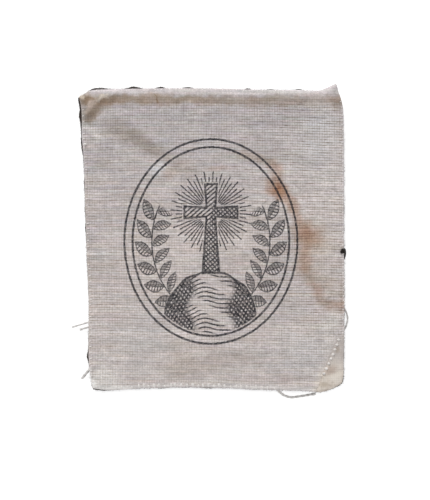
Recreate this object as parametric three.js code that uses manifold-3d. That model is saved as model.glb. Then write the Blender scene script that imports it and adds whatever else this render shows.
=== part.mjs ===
// One panel of a cloth devotional scapular, lying flat with its face up.
// A square of white cotton is turned in and whipped over a dark wool backing. The lower right
// corner of the cotton is turned under on the slant, so a triangle of cream lining shows there.
// A dark stitch is left at the right edge, and ends of sewing thread hang from the seam.
//
// Millimetres, +Z up, +X to the right and +Y to the top edge. The badge rests on z = 0.

import * as THREE from "three";
import { mergeVertices } from "three/addons/utils/BufferGeometryUtils.js";
import Module from "manifold-3d";

const wasm = await Module();
wasm.setup();

// Driving dimensions
const BADGE_WIDTH = 48;
const BADGE_HEIGHT = 55;
const WOOL_WALL = 1.0;
const LINING_WALL = 1.0;
const FRONT_WALL = 1.2;
const SEAM_GAP = 0.3;
const THREAD_RADIUS = 0.18;
const TAPE_THREAD_RADIUS = 0.3;

// Heights worked out from the layers
const FRONT_UNDERSIDE = WOOL_WALL + SEAM_GAP;
const FRONT_TOP = FRONT_UNDERSIDE + FRONT_WALL;
const LINING_TOP = FRONT_UNDERSIDE + LINING_WALL;

const HALF_WIDTH = BADGE_WIDTH / 2;
const HALF_HEIGHT = BADGE_HEIGHT / 2;

// The badge is a plain rectangle whose edges the sewing has pulled about. Each row says how far
// the cotton and the wool reach beyond the rectangle's side at that share of its length, counted
// from the left on the top and bottom sides and from the top on the others.
const SIDES = {
  top: [
    { along: 0.002, cotton: -0.4, wool: -0.2 },
    { along: 0.021, cotton: 0.0, wool: 0.25 },
    { along: 0.096, cotton: 0.15, wool: 0.35 },
    { along: 0.21, cotton: 0.3, wool: 0.42 },
    { along: 0.44, cotton: 0.35, wool: 0.44 },
    { along: 0.67, cotton: 0.1, wool: 0.2 },
    { along: 0.844, cotton: 0.02, wool: 0.12 },
    { along: 0.9, cotton: -0.08, wool: -0.1 },
    { along: 0.931, cotton: 0.4, wool: -0.2 },
  ],
  right: [
    { along: 0.008, cotton: -1.2, wool: -1.4 },
    { along: 0.021, cotton: -0.85, wool: -1.05 },
    { along: 0.058, cotton: -0.32, wool: -0.5 },
    { along: 0.115, cotton: -0.2, wool: -0.15 },
    { along: 0.265, cotton: -0.15, wool: -0.02 },
    { along: 0.518, cotton: -0.15, wool: 0 },
    { along: 0.702, cotton: -0.05, wool: 0.06 },
    { along: 0.872, cotton: -0.15, wool: 0.0 },
    { along: 0.946, cotton: -0.35, wool: -0.2 },
  ],
  bottom: [
    { along: 0.069, cotton: 0.5, wool: 0.62 },
    { along: 0.21, cotton: 0.15, wool: 0.3 },
    { along: 0.383, cotton: -0.05, wool: 0.1 },
    { along: 0.556, cotton: 0.1, wool: 0.25 },
    { along: 0.67, cotton: 0.4, wool: 0.52 },
    { along: 0.844, cotton: 0.6, wool: 0.72 },
    { along: 0.908, cotton: 0.85, wool: 0.97 },
    { along: 0.94, cotton: 0.4, wool: 0.58 },
    { along: 0.967, cotton: -0.25, wool: -0.02 },
  ],
  left: [
    { along: 0.038, cotton: 0.95, wool: 1.3 },
    { along: 0.063, cotton: 0.7, wool: 1.05 },
    { along: 0.148, cotton: 0.45, wool: 0.72 },
    { along: 0.265, cotton: 0.2, wool: 0.36 },
    { along: 0.434, cotton: -0.05, wool: 0.08 },
    { along: 0.603, cotton: -0.4, wool: -0.26 },
    { along: 0.72, cotton: -0.65, wool: -0.52 },
    { along: 0.907, cotton: -0.65, wool: -0.5 },
    { along: 0.973, cotton: -1.05, wool: -0.9 },
  ],
};

// How far each layer's corners lie beyond the plain rectangle's, to the right and upwards. The
// cotton's upper right corner is a pulled-out ear that the wool doesn't follow.
const CORNERS = {
  cotton: {
    upperLeft: { right: -1.2, up: -1.05 },
    upperRight: { right: -1.7, up: 1.15 },
    lowerRight: { right: -0.7, up: 0.95 },
    lowerLeft: { right: 1.35, up: -0.2 },
  },
  wool: {
    upperLeft: { right: -1.55, up: -1.0 },
    upperRight: { right: -1.8, up: -0.25 },
    lowerRight: { right: -0.5, up: 0.8 },
    lowerLeft: { right: 1.2, up: -0.35 },
  },
};

// Places where the wool bulges out between two stitches.
const WOOL_BULGES = [
  { x: -21.5, y: 27.9, out: 0.15, spread: 1.6 },
  { x: -15.1, y: 28.0, out: 0.28, spread: 1.2 },
  { x: -10.3, y: 27.9, out: 0.25, spread: 0.7 },
  { x: -5.1, y: 27.9, out: 0.12, spread: 1.0 },
  { x: 6.0, y: 27.7, out: 0.25, spread: 0.5 },
  { x: 10.2, y: 27.7, out: 0.12, spread: 0.9 },
  { x: 15.7, y: 27.6, out: 0.15, spread: 0.6 },
  { x: -25.0, y: 22.9, out: 0.3, spread: 0.8 },
  { x: -24.8, y: 21.4, out: 0.12, spread: 0.5 },
  { x: -24.5, y: 18.3, out: 0.12, spread: 0.5 },
  { x: -24.4, y: 17.1, out: 0.15, spread: 0.6 },
  { x: -23.5, y: -21.6, out: 0.14, spread: 0.9 },
  { x: -9.7, y: -27.6, out: 0.12, spread: 0.6 },
  { x: -1.2, y: -27.6, out: 0.15, spread: 0.7 },
  { x: 23.3, y: -27.1, out: 0.12, spread: 0.9 },
];

// Largest folds of the cotton: soft ridges where height is over 0 and troughs where it is under.
const FOLDS = [
  { from: [-20.4, 26.6], via: [-22.3, 25.2], to: [-23.3, 21.6], height: 0.5, width: 0.5 },
  { from: [-19.8, 25.3], via: [-21.3, 24.1], to: [-22.1, 20.6], height: -0.16, width: 0.8 },
  { from: [-24.6, 26.0], via: [-23.9, 25.2], to: [-23.8, 24.2], height: 0.25, width: 0.45 },
  { from: [-19.2, 20.6], via: [-14.8, 18.6], to: [-10.2, 14.4], height: -0.2, width: 1.3 },
  { from: [-20.8, 17.6], via: [-16.0, 16.2], to: [-11.2, 12.6], height: 0.16, width: 1.4 },
  { from: [-22.8, 9.0], via: [-19.0, 8.2], to: [-15.5, 8.6], height: 0.08, width: 1.1 },
  { from: [-22.6, -19.0], via: [-20.6, -18.0], to: [-18.4, -18.2], height: 0.12, width: 0.7 },
  { from: [-12.0, -23.6], via: [-2.0, -24.4], to: [8.0, -23.4], height: -0.14, width: 1.8 },
  { from: [12.0, 21.8], via: [16.5, 20.6], to: [21.8, 21.2], height: -0.1, width: 1.5 },
  { from: [18.5, 9.4], via: [20.8, 9.9], to: [23.2, 9.2], height: 0.14, width: 0.6 },
  { from: [15.0, -12.6], via: [18.6, -14.4], to: [23.0, -13.9], height: -0.1, width: 1.2 },
];

// Shape of the turned top edge, of the rounded rim and of the lifted ear
const HEM_RIDGE = { inset: 0.7, height: 0.42, width: 0.55 };
const HEM_VALLEY = { inset: 2.3, height: -0.14, width: 0.8 };
const RIM_WIDTH = 0.9;
const RIM_DROP = 0.45;
const EAR_LIFT = 0.9;
const EAR_REACH = 3.6;

// The slanting line on which the lower right corner of the cotton is turned under.
const TURNING = { start: [24.9, -12.2], end: [18.2, -29.6], corner: [27, -31] };

const SIDE_STEPS = 44;
const STATIONS = { first: 0.35, growth: 1.3, most: 2.2 };

const smooth = (t) => t * t * (3 - 2 * t);
const clamp01 = (t) => Math.min(1, Math.max(0, t));
const bell = (distance, width) => Math.exp(-((distance / width) ** 2));

// A layer's four sides as curves, each running the way that its table is counted.
function sidesOf(layer) {
  const corner = CORNERS[layer];
  const place = (right, up) => new THREE.Vector3(right, up, 0);
  const upperLeft = place(-HALF_WIDTH + corner.upperLeft.right, HALF_HEIGHT + corner.upperLeft.up);
  const upperRight = place(HALF_WIDTH + corner.upperRight.right, HALF_HEIGHT + corner.upperRight.up);
  const lowerRight = place(HALF_WIDTH + corner.lowerRight.right, -HALF_HEIGHT + corner.lowerRight.up);
  const lowerLeft = place(-HALF_WIDTH + corner.lowerLeft.right, -HALF_HEIGHT + corner.lowerLeft.up);
  const curve = (start, rows, end) =>
    new THREE.CatmullRomCurve3([start, ...rows, end], false, "centripetal");
  const onTop = ({ along, [layer]: out }) =>
    place(-HALF_WIDTH + along * BADGE_WIDTH, HALF_HEIGHT + out);
  const onBottom = ({ along, [layer]: out }) =>
    place(-HALF_WIDTH + along * BADGE_WIDTH, -HALF_HEIGHT - out);
  const onRight = ({ along, [layer]: out }) =>
    place(HALF_WIDTH + out, HALF_HEIGHT - along * BADGE_HEIGHT);
  const onLeft = ({ along, [layer]: out }) =>
    place(-HALF_WIDTH - out, HALF_HEIGHT - along * BADGE_HEIGHT);
  return {
    top: curve(upperLeft, SIDES.top.map(onTop), upperRight),
    right: curve(upperRight, SIDES.right.map(onRight), lowerRight),
    bottom: curve(lowerLeft, SIDES.bottom.map(onBottom), lowerRight),
    left: curve(upperLeft, SIDES.left.map(onLeft), lowerLeft),
  };
}

// Shares of a length at which sections are taken: close together at both ends, where the rim
// and the hem turn, and further apart in the middle.
function stations(length) {
  const steps = [];
  let covered = 0;
  for (
    let step = STATIONS.first;
    step < STATIONS.most && 2 * (covered + step) < length;
    step *= STATIONS.growth
  ) {
    steps.push(step);
    covered += step;
  }
  const middle = length - 2 * covered;
  const count = Math.ceil(middle / STATIONS.most);
  const all = [...steps, ...Array(count).fill(middle / count), ...steps.slice().reverse()];
  const found = [0];
  let sum = 0;
  for (const step of all) {
    sum += step;
    found.push(Math.min(1, sum / length));
  }
  found[found.length - 1] = 1;
  return found;
}

// A point of the cotton, blended from its four sides: across runs from left to right and down
// from the top edge to the bottom edge, both from 0 to 1.
function clothPoint(sides, across, down) {
  const top = sides.top.getPointAt(across);
  const bottom = sides.bottom.getPointAt(across);
  const left = sides.left.getPointAt(down);
  const right = sides.right.getPointAt(down);
  const upperLeft = sides.top.getPointAt(0);
  const upperRight = sides.top.getPointAt(1);
  const lowerLeft = sides.bottom.getPointAt(0);
  const lowerRight = sides.bottom.getPointAt(1);
  const blend = (axis) =>
    (1 - down) * top[axis] +
    down * bottom[axis] +
    (1 - across) * left[axis] +
    across * right[axis] -
    (1 - down) * ((1 - across) * upperLeft[axis] + across * upperRight[axis]) -
    down * ((1 - across) * lowerLeft[axis] + across * lowerRight[axis]);
  return { x: blend("x"), y: blend("y") };
}

// How far a point lies from a fold's line, a curve through its three points.
const foldLines = FOLDS.map(({ from, via, to }) => {
  const points = [from, via, to].map(([x, y]) => new THREE.Vector2(x, y));
  return new THREE.SplineCurve(points).getPoints(16);
});

function foldHeight(x, y) {
  let height = 0;
  FOLDS.forEach((fold, index) => {
    const nearest = Math.min(...foldLines[index].map((p) => Math.hypot(p.x - x, p.y - y)));
    height += fold.height * bell(nearest, fold.width);
  });
  return height;
}

// What the turned hem adds near the top edge. It dies away at the left, where the corner fold
// takes its place.
function hemHeight(x, fromTop) {
  const share = smooth(clamp01((x + 22.5) / 3));
  const ridge = HEM_RIDGE.height * bell(fromTop - HEM_RIDGE.inset, HEM_RIDGE.width);
  const valley = HEM_VALLEY.height * bell(fromTop - HEM_VALLEY.inset, HEM_VALLEY.width);
  return share * (ridge + valley);
}

// How far the rounded rim lies under the middle of the cloth.
function rimDrop(fromEdge) {
  const t = clamp01(1 - fromEdge / RIM_WIDTH);
  return RIM_DROP * (1 - Math.sqrt(1 - 0.96 * t * t));
}

// The ear's tip stands up off the wool.
function earLift(x, y) {
  const tip = CORNERS.cotton.upperRight;
  const distance = Math.hypot(x - (HALF_WIDTH + tip.right), y - (HALF_HEIGHT + tip.up));
  return EAR_LIFT * smooth(clamp01(1 - distance / EAR_REACH));
}

const cottonSides = sidesOf("cotton");

// Height of the cotton's upper surface over the table at a point, for a wall that ends at top.
function surfaceHeight(x, y, across, down, top) {
  const fromTop = down * BADGE_HEIGHT;
  const fromEdge = Math.min(
    fromTop,
    (1 - down) * BADGE_HEIGHT,
    across * BADGE_WIDTH,
    (1 - across) * BADGE_WIDTH,
  );
  return top + foldHeight(x, y) + hemHeight(x, fromTop) + earLift(x, y) - rimDrop(fromEdge);
}

// A wall of cloth with the cotton's outline: sections across the badge, joined row by row.
function clothWall(top, underside) {
  const columns = stations(BADGE_WIDTH);
  const rows = stations(BADGE_HEIGHT);
  const upper = [];
  const lower = [];
  for (const down of rows) {
    for (const across of columns) {
      const { x, y } = clothPoint(cottonSides, across, down);
      upper.push([x, y, surfaceHeight(x, y, across, down, top)]);
      lower.push([x, y, underside + earLift(x, y)]);
    }
  }
  const width = columns.length;
  const total = upper.length;
  const faces = [];
  const quad = (a, b, c, d) => faces.push(a, b, c, a, c, d);
  for (let row = 0; row < rows.length - 1; row++) {
    for (let column = 0; column < width - 1; column++) {
      const a = row * width + column;
      const b = a + width;
      quad(a, b, b + 1, a + 1);
      quad(total + a, total + a + 1, total + b + 1, total + b);
    }
  }
  for (let column = 0; column < width - 1; column++) {
    const last = total - width + column;
    quad(column, column + 1, total + column + 1, total + column);
    quad(last + 1, last, total + last, total + last + 1);
  }
  for (let row = 0; row < rows.length - 1; row++) {
    const a = row * width;
    const end = a + width - 1;
    quad(a + width, a, total + a, total + a + width);
    quad(end, end + width, total + end + width, total + end);
  }
  const geometry = new THREE.BufferGeometry();
  geometry.setAttribute("position", new THREE.Float32BufferAttribute([...upper, ...lower].flat(), 3));
  geometry.setIndex(faces);
  return geometry;
}

// Between three.js geometry and manifold-3d solids
function solidOf(geometry) {
  const bare = geometry.clone();
  bare.deleteAttribute("normal");
  bare.deleteAttribute("uv");
  const merged = mergeVertices(bare);
  const mesh = new wasm.Mesh({
    numProp: 3,
    vertProperties: new Float32Array(merged.attributes.position.array),
    triVerts: new Uint32Array(merged.index.array),
  });
  return new wasm.Manifold(mesh);
}

function geometryOf(solid) {
  const mesh = solid.getMesh();
  const geometry = new THREE.BufferGeometry();
  geometry.setAttribute("position", new THREE.BufferAttribute(mesh.vertProperties, 3));
  geometry.setIndex(new THREE.BufferAttribute(mesh.triVerts, 1));
  return geometry;
}

// The corner beyond the slanting turning, moved outwards by a gap, as an upright prism.
function cornerPrism(gap) {
  const start = new THREE.Vector2(...TURNING.start);
  const end = new THREE.Vector2(...TURNING.end);
  const along = end.clone().sub(start).normalize();
  const outwards = new THREE.Vector2(-along.y, along.x).multiplyScalar(gap);
  const shape = new THREE.Shape([
    start.add(outwards),
    end.add(outwards),
    new THREE.Vector2(...TURNING.corner),
    new THREE.Vector2(TURNING.corner[0], TURNING.start[1]),
  ]);
  return new THREE.ExtrudeGeometry(shape, { depth: 2 * FRONT_TOP, bevelEnabled: false });
}

// The white cotton, without the corner that is turned under.
function frontPanel() {
  const wall = solidOf(clothWall(FRONT_TOP, FRONT_UNDERSIDE));
  return geometryOf(wall.subtract(solidOf(cornerPrism(0))));
}

// The cream lining, where the turned corner uncovers it.
function cornerLining() {
  const wall = solidOf(clothWall(LINING_TOP, FRONT_UNDERSIDE));
  return geometryOf(wall.intersect(solidOf(cornerPrism(SEAM_GAP))));
}

// The wool backing: a slab with its own pulled outline, bulging out between stitches.
function woolPanel() {
  const sides = sidesOf("wool");
  const step = (curve, count) => curve.getSpacedPoints(count).slice(0, -1);
  const loop = [
    ...step(sides.left, SIDE_STEPS),
    ...step(sides.bottom, SIDE_STEPS),
    ...sides.right.getSpacedPoints(SIDE_STEPS).reverse().slice(0, -1),
    ...sides.top.getSpacedPoints(2 * SIDE_STEPS).reverse().slice(0, -1),
  ];
  const outline = loop.map((point) => {
    const bulge = WOOL_BULGES.reduce(
      (sum, { x, y, out, spread }) => sum + out * bell(Math.hypot(point.x - x, point.y - y), spread),
      0,
    );
    const outwards = outwardsAt(point);
    return new THREE.Vector2(point.x + bulge * outwards.x, point.y + bulge * outwards.y);
  });
  const bevel = WOOL_WALL / 4;
  return new THREE.ExtrudeGeometry(new THREE.Shape(outline), {
    depth: WOOL_WALL - 2 * bevel,
    bevelThickness: bevel,
    bevelSize: bevel,
    bevelOffset: -bevel,
    bevelSegments: 1,
  }).translate(0, 0, bevel);
}

// The way out of the badge from the side that a point is nearest to.
function outwardsAt({ x, y }) {
  const beyondSide = Math.abs(x) - HALF_WIDTH;
  const beyondEnd = Math.abs(y) - HALF_HEIGHT;
  return beyondSide > beyondEnd ? { x: Math.sign(x), y: 0 } : { x: 0, y: Math.sign(y) };
}

// A round thread along a smooth line through a few places.
function thread(places, radius, steps) {
  const sides = 8;
  const ring = Array.from({ length: sides }, (_, index) => {
    const angle = (2 * Math.PI * index) / sides;
    return new THREE.Vector2(radius * Math.cos(angle), radius * Math.sin(angle));
  });
  const path = new THREE.CatmullRomCurve3(places.map((place) => new THREE.Vector3(...place)));
  return new THREE.ExtrudeGeometry(new THREE.Shape(ring), { steps, extrudePath: path });
}

// Sewing thread that has worked loose. Each leaves the seam between the layers, and its free
// end comes down to the table; the loop on the right goes back into the seam.
const SEAM_HEIGHT = WOOL_WALL + SEAM_GAP / 2;
const ON_TABLE = THREAD_RADIUS + 0.04;
const LOOSE_THREADS = {
  thread_left_long: [
    [-23.95, -15.2, SEAM_HEIGHT],
    [-24.8, -15.35, 1.0],
    [-25.8, -15.85, 0.5],
    [-26.75, -16.3, ON_TABLE],
  ],
  thread_left_short: [
    [-23.95, -16.15, SEAM_HEIGHT],
    [-24.6, -16.3, 0.85],
    [-25.35, -16.85, ON_TABLE],
  ],
  thread_left_low: [
    [-23.9, -24.1, SEAM_HEIGHT],
    [-24.4, -24.9, 0.8],
    [-24.9, -25.85, ON_TABLE],
  ],
  thread_bottom: [
    [11.9, -28.45, SEAM_HEIGHT],
    [12.7, -29.0, 0.8],
    [14.1, -29.32, 0.35],
    [16.2, -29.2, ON_TABLE],
    [18.2, -28.9, ON_TABLE],
  ],
  thread_right_loop: [
    [24.55, -12.9, SEAM_HEIGHT],
    [24.85, -13.7, 0.95],
    [24.98, -14.8, 0.8],
    [24.85, -16.0, 0.9],
    [24.55, -16.9, SEAM_HEIGHT],
  ],
};

// The dark stitch lies over the right edge: from the face, round the rim and down the side.
const TAPE_STITCH = [
  [23.0, -1.9, FRONT_TOP + SEAM_GAP + TAPE_THREAD_RADIUS],
  [23.75, -1.95, FRONT_TOP + SEAM_GAP + 0.9 * TAPE_THREAD_RADIUS],
  [24.42, -2.2, 2.3],
  [24.62, -2.85, 1.6],
  [24.55, -3.7, 0.9],
];

const cotton = new THREE.MeshStandardMaterial({ color: 0xd6cec6, roughness: 0.95 });
const creamLining = new THREE.MeshStandardMaterial({ color: 0xd8c9b4, roughness: 0.95 });
const wool = new THREE.MeshStandardMaterial({ color: 0x2c2421, roughness: 1 });
const sewingThread = new THREE.MeshStandardMaterial({ color: 0xdcd6cd, roughness: 0.85 });
const tapeThread = new THREE.MeshStandardMaterial({ color: 0x1f1814, roughness: 0.95 });

const badge = new THREE.Group();

function add(name, geometry, material) {
  const mesh = new THREE.Mesh(geometry, material);
  mesh.name = name;
  badge.add(mesh);
}

add("back_panel", woolPanel(), wool);
add("front_panel", frontPanel(), cotton);
add("corner_lining", cornerLining(), creamLining);
for (const [name, places] of Object.entries(LOOSE_THREADS)) {
  add(name, thread(places, THREAD_RADIUS, 14), sewingThread);
}
add("tape_stitch", thread(TAPE_STITCH, TAPE_THREAD_RADIUS, 10), tapeThread);

// The origin goes to the middle of the underside of everything.
const extent = new THREE.Box3().setFromObject(badge);
const middle = extent.getCenter(new THREE.Vector3());
badge.position.set(-middle.x, -middle.y, -extent.min.z);

export default badge;
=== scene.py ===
# %% [markdown]
# # A cloth scapular panel, old and stained
#
# The real object is a badge about 48 mm wide that a person could sew at a table. A printed piece
# of white cotton is turned in at its edges and whipped to a backing of dark wool. At the lower
# right the cotton's corner is turned under on the slant, and a cream lining shows there. The
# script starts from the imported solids, which give every layer its place and outline, and then
# makes each layer again as cloth: woven, creased, sewn and worn.

import math

import bmesh
import bpy
import numpy as np
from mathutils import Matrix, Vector


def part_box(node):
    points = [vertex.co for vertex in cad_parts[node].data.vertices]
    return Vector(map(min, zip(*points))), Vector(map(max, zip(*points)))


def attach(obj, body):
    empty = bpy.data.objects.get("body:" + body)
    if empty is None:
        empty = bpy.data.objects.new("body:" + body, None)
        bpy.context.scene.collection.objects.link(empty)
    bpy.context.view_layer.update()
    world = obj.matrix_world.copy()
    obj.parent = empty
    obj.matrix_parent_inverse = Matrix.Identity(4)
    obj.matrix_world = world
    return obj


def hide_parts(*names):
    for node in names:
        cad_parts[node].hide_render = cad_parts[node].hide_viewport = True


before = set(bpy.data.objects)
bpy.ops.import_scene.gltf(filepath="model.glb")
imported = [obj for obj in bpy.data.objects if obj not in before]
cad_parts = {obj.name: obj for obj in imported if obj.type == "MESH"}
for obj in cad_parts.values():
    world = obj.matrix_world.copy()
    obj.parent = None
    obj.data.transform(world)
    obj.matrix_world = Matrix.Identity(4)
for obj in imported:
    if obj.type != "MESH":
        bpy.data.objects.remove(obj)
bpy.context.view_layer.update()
MM = 0.001

# %% [markdown]
# ## Where things are
#
# All places below are in millimetres from the middle of the plain rectangle that the badge was
# cut to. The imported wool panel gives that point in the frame: the sewing has pulled the wool a
# little to one side, so its own middle lies a known step away.

# %% Places in the frame
WOOL_MIDDLE = np.array([-0.743, -0.135])
wool_box = [np.array(corner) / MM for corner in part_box("back_panel")]
HOME = (wool_box[0] + wool_box[1])[:2] / 2 - WOOL_MIDDLE

WOOL_TOP = wool_box[1][2]
COTTON_WALL = 1.2
COTTON_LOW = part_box("front_panel")[0].z / MM
COTTON_FACE = COTTON_LOW + COTTON_WALL
LINING_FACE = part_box("corner_lining")[1].z / MM
print("home in the frame:", HOME.round(3), "cotton face at", round(COTTON_FACE, 2))


def in_frame(point):
    """A place given as x, y and height in mm, in the frame's metres."""
    return ((point[0] + HOME[0]) * MM, (point[1] + HOME[1]) * MM, point[2] * MM)


def rows(columns, *values):
    """The rows of a table as dictionaries, under the names of its columns."""
    return [dict(zip(columns.split(), row)) for row in values]


def in_scene(name, data):
    """An object for some data, at the origin of the scene."""
    made = bpy.data.objects.new(name, data)
    bpy.context.scene.collection.objects.link(made)
    return made


# %% [markdown]
# ## Outlines
#
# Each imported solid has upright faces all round, so their corners, seen from above, are the
# layer's outline. Sorted by their angle about the middle they make a loop, and the loop is cut
# at its four corners into the sides of the cloth, for the sewing. Reading them from the frame
# keeps the cloth on the solid that it replaces.

# %% Outlines of the layers
def upright_faces(node):
    """Normal, middle and corners of a node's upright faces, seen from above, in mm."""
    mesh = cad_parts[node].data
    for face in mesh.polygons:
        if abs(face.normal.z) < 0.1:
            corners = [np.array(mesh.vertices[i].co[:2]) / MM - HOME for i in face.vertices]
            yield np.array(face.normal[:2]), np.mean(corners, axis=0), corners


slanting = [
    (normal, middle)
    for normal, middle, _ in upright_faces("front_panel")
    if normal[0] > 0.8 and normal[1] < -0.25
]
slant_out = np.mean([normal for normal, _ in slanting], axis=0)
slant_out /= np.linalg.norm(slant_out)
slant_at = np.mean([middle for _, middle in slanting], axis=0)


def outline(*nodes):
    """The loop round some nodes, counterclockwise, without the slanting seam between them."""
    points = {
        (round(x, 3), round(y, 3))
        for node in nodes
        for normal, _, corners in upright_faces(node)
        if abs(normal @ slant_out) < 0.98 or node == "back_panel"
        for x, y in corners
    }
    loop = np.array(sorted(points))
    return loop[np.argsort(np.arctan2(loop[:, 1], loop[:, 0]))]


def sides_of(loop):
    """Cuts a loop at its corners. Sides run from left to right and from top to bottom."""
    upper_left, upper_right, lower_right, lower_left = (
        int(np.argmax(loop @ np.array(way))) for way in ((-1, 1), (1, 1), (1, -1), (-1, -1))
    )

    def walk(start, end):
        steps = (end - start) % len(loop)
        return loop[[(start + step) % len(loop) for step in range(steps + 1)]]

    return {
        "top": walk(upper_right, upper_left)[::-1],
        "right": walk(lower_right, upper_right)[::-1],
        "bottom": walk(lower_left, lower_right),
        "left": walk(upper_left, lower_left),
    }


def along(side, share):
    """Points of a side at shares of its length."""
    length = np.r_[0, np.cumsum(np.linalg.norm(np.diff(side, axis=0), axis=1))]
    return np.stack([np.interp(share, length / length[-1], side[:, axis]) for axis in (0, 1)], -1)


def distance_to_line(x, y, line):
    """Distance from points to a line of short straight stretches."""
    nearest = np.full(np.shape(x), np.inf)
    for (x0, y0), (x1, y1) in zip(line[:-1], line[1:]):
        way = np.array([x1 - x0, y1 - y0])
        share = np.clip(((x - x0) * way[0] + (y - y0) * way[1]) / (way @ way), 0, 1)
        nearest = np.minimum(nearest, np.hypot(x - x0 - share * way[0], y - y0 - share * way[1]))
    return nearest


def depth_inside(x, y, loop):
    """How far points lie inside a loop, in mm, and negative outside it."""
    closed = np.vstack([loop, loop[:1]])
    inside = np.zeros(np.shape(x), bool)
    for (x0, y0), (x1, y1) in zip(closed[:-1], closed[1:]):
        if y0 != y1:
            crosses = (y0 > y) != (y1 > y)
            inside ^= crosses & (x < x0 + (y - y0) * (x1 - x0) / (y1 - y0))
    return np.where(inside, 1, -1) * distance_to_line(x, y, closed)


CORNER = {"at": (23.5, -26.0), "reach": 1.9, "by": (0.26, -0.04)}
TIP = {"at": (-24.7, 27.1), "reach": 1.1, "by": (0.08, -0.13)}
LEFT_OF_COTTON = {"at": (-24.7, 19.0), "reach": 2.7, "by": (-0.2, 0)}
FOOT_OF_COTTON = {"at": (-21.6, -27.5), "reach": 2.3, "by": (-0.04, 0.12)}
LEFT_OF_WOOL = {"at": (-24.7, 19.0), "reach": 2.7, "by": (-0.13, 0)}


def pushed(loop, *places):
    """A loop of points, moved a little at a few places, as soft cloth rounds a corner."""
    for row in places:
        far = np.linalg.norm(loop - row["at"], axis=1) / row["reach"]
        loop = loop + np.exp(-(far**2))[:, None] * row["by"]
    return loop


cotton_loop = pushed(
    outline("front_panel", "corner_lining"), CORNER, TIP, LEFT_OF_COTTON, FOOT_OF_COTTON,
)
wool_loop = pushed(outline("back_panel"), CORNER, TIP, LEFT_OF_WOOL)
cotton_sides = sides_of(cotton_loop)
WIDTH, HEIGHT = np.ptp(cotton_loop, axis=0)
print("cotton, mm:", WIDTH.round(1), "x", HEIGHT.round(1), "slant at", slant_at.round(2))


def slant_depth(x, y):
    """How far points lie inside the slanting turned edge, in mm. It bends out near its top."""
    straight = -((x - slant_at[0]) * slant_out[0] + (y - slant_at[1]) * slant_out[1])
    return straight + 0.33 * np.clip(np.asarray(y) + 19.6, 0, 3) ** 2


# %% [markdown]
# ## The weave
#
# The cotton is a plain weave: each weft thread, which runs from side to side, goes over one warp
# thread and under the next. The weft is the fatter one, so the cloth looks ribbed from side to
# side. The threads run nearly straight through the badge, whatever the cut edges do, and only
# sag a little where the cloth was pulled. A lattice of places in thread numbers says where each
# thread lies. Two steps to a thread is the coarsest mesh that can hold the weave: one step is
# the crown of the thread and the next is the gap. Anything finer is left to the material.

# %% Places of the threads
WARP_PITCH = 0.4615
WEFT_PITCH = [(0, 0.494), (34, 0.487), (50, 0.494), (72, 0.479), (92, 0.487), (102, 0.462), (124, 0.465)]
WARP_THREADS = 114
WEFT_THREADS = 120
FIRST_THREADS = (-26.4, 29.6)
SAG = [(-29, 0.00025), (-6, 0.0), (6, 0.0), (29, 0.0007)]
FALL = 0.0105


def ripple(x, y, size, seed, waves=7):
    """Soft unevenness from about -1 to 1 whose swells are about size mm across."""
    draw = np.random.default_rng(seed)
    total = np.zeros(np.broadcast(x, y).shape)
    for _ in range(waves):
        turn, phase = draw.uniform(0, 2 * np.pi, 2)
        pace = 2 * np.pi / (size * draw.uniform(0.8, 2.4))
        total += np.sin((x * math.cos(turn) + y * math.sin(turn)) * pace + phase)
    return total / waves ** 0.5 / 1.6


thread_numbers = np.arange(WEFT_THREADS + 2)
pitches = np.interp(thread_numbers, *np.array(WEFT_PITCH).T)
uneven = np.random.default_rng(4).normal(0, 0.035, len(thread_numbers) + 1)
weft_lines = np.r_[0, np.cumsum(pitches)] + uneven


def thread_place(a, b):
    """Where the place a warp threads across and b weft threads down lies, in mm."""
    x = FIRST_THREADS[0] + WARP_PITCH * a
    y = FIRST_THREADS[1] - np.interp(b, np.arange(len(weft_lines)), weft_lines)
    sag = np.interp(y, *np.array(SAG).T)
    y = y - FALL * x - sag * x * x + 0.14 * ripple(x, y, 16, 22) + 0.045 * ripple(x, b * 2.3, 5, 21)
    x = x + 0.16 * ripple(x, y, 18, 24) + 0.03 * ripple(a * 2.3, y, 6, 23)
    return x, y


# %% Height of a plain weave
WEFT = {"radius": 0.14, "wave": 0.03, "fill": 0.5}
WARP = {"radius": 0.06, "wave": 0.045, "fill": 0.44}

dice = np.random.default_rng(11)
weft_bulk = 1 + 0.24 * dice.standard_normal(WEFT_THREADS + 1).clip(-2, 2)
warp_bulk = 1 + 0.12 * dice.standard_normal(WARP_THREADS + 1).clip(-2, 2)


def rounded(offset, thread):
    """Height of a thread over its own middle line, at a share of the pitch from that line."""
    return thread["radius"] * np.sqrt(np.clip(1 - (offset / thread["fill"]) ** 2, 0, 1))


def weave_height(a, b):
    """Height of the woven face in mm, a warp threads across and b weft threads down."""
    warp = np.clip(np.floor(a), 0, WARP_THREADS)
    weft = np.clip(np.floor(b), 0, WEFT_THREADS)
    weft_line = WEFT["wave"] * np.cos(np.pi * (a - 0.5 - weft))
    warp_line = -WARP["wave"] * np.cos(np.pi * (b - 0.5 - warp))
    weft_top = weft_line + rounded(b - weft - 0.5, WEFT) * weft_bulk[weft.astype(int)]
    warp_top = warp_line + rounded(a - warp - 0.5, WARP) * warp_bulk[warp.astype(int)]
    return np.maximum(weft_top, warp_top)
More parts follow.
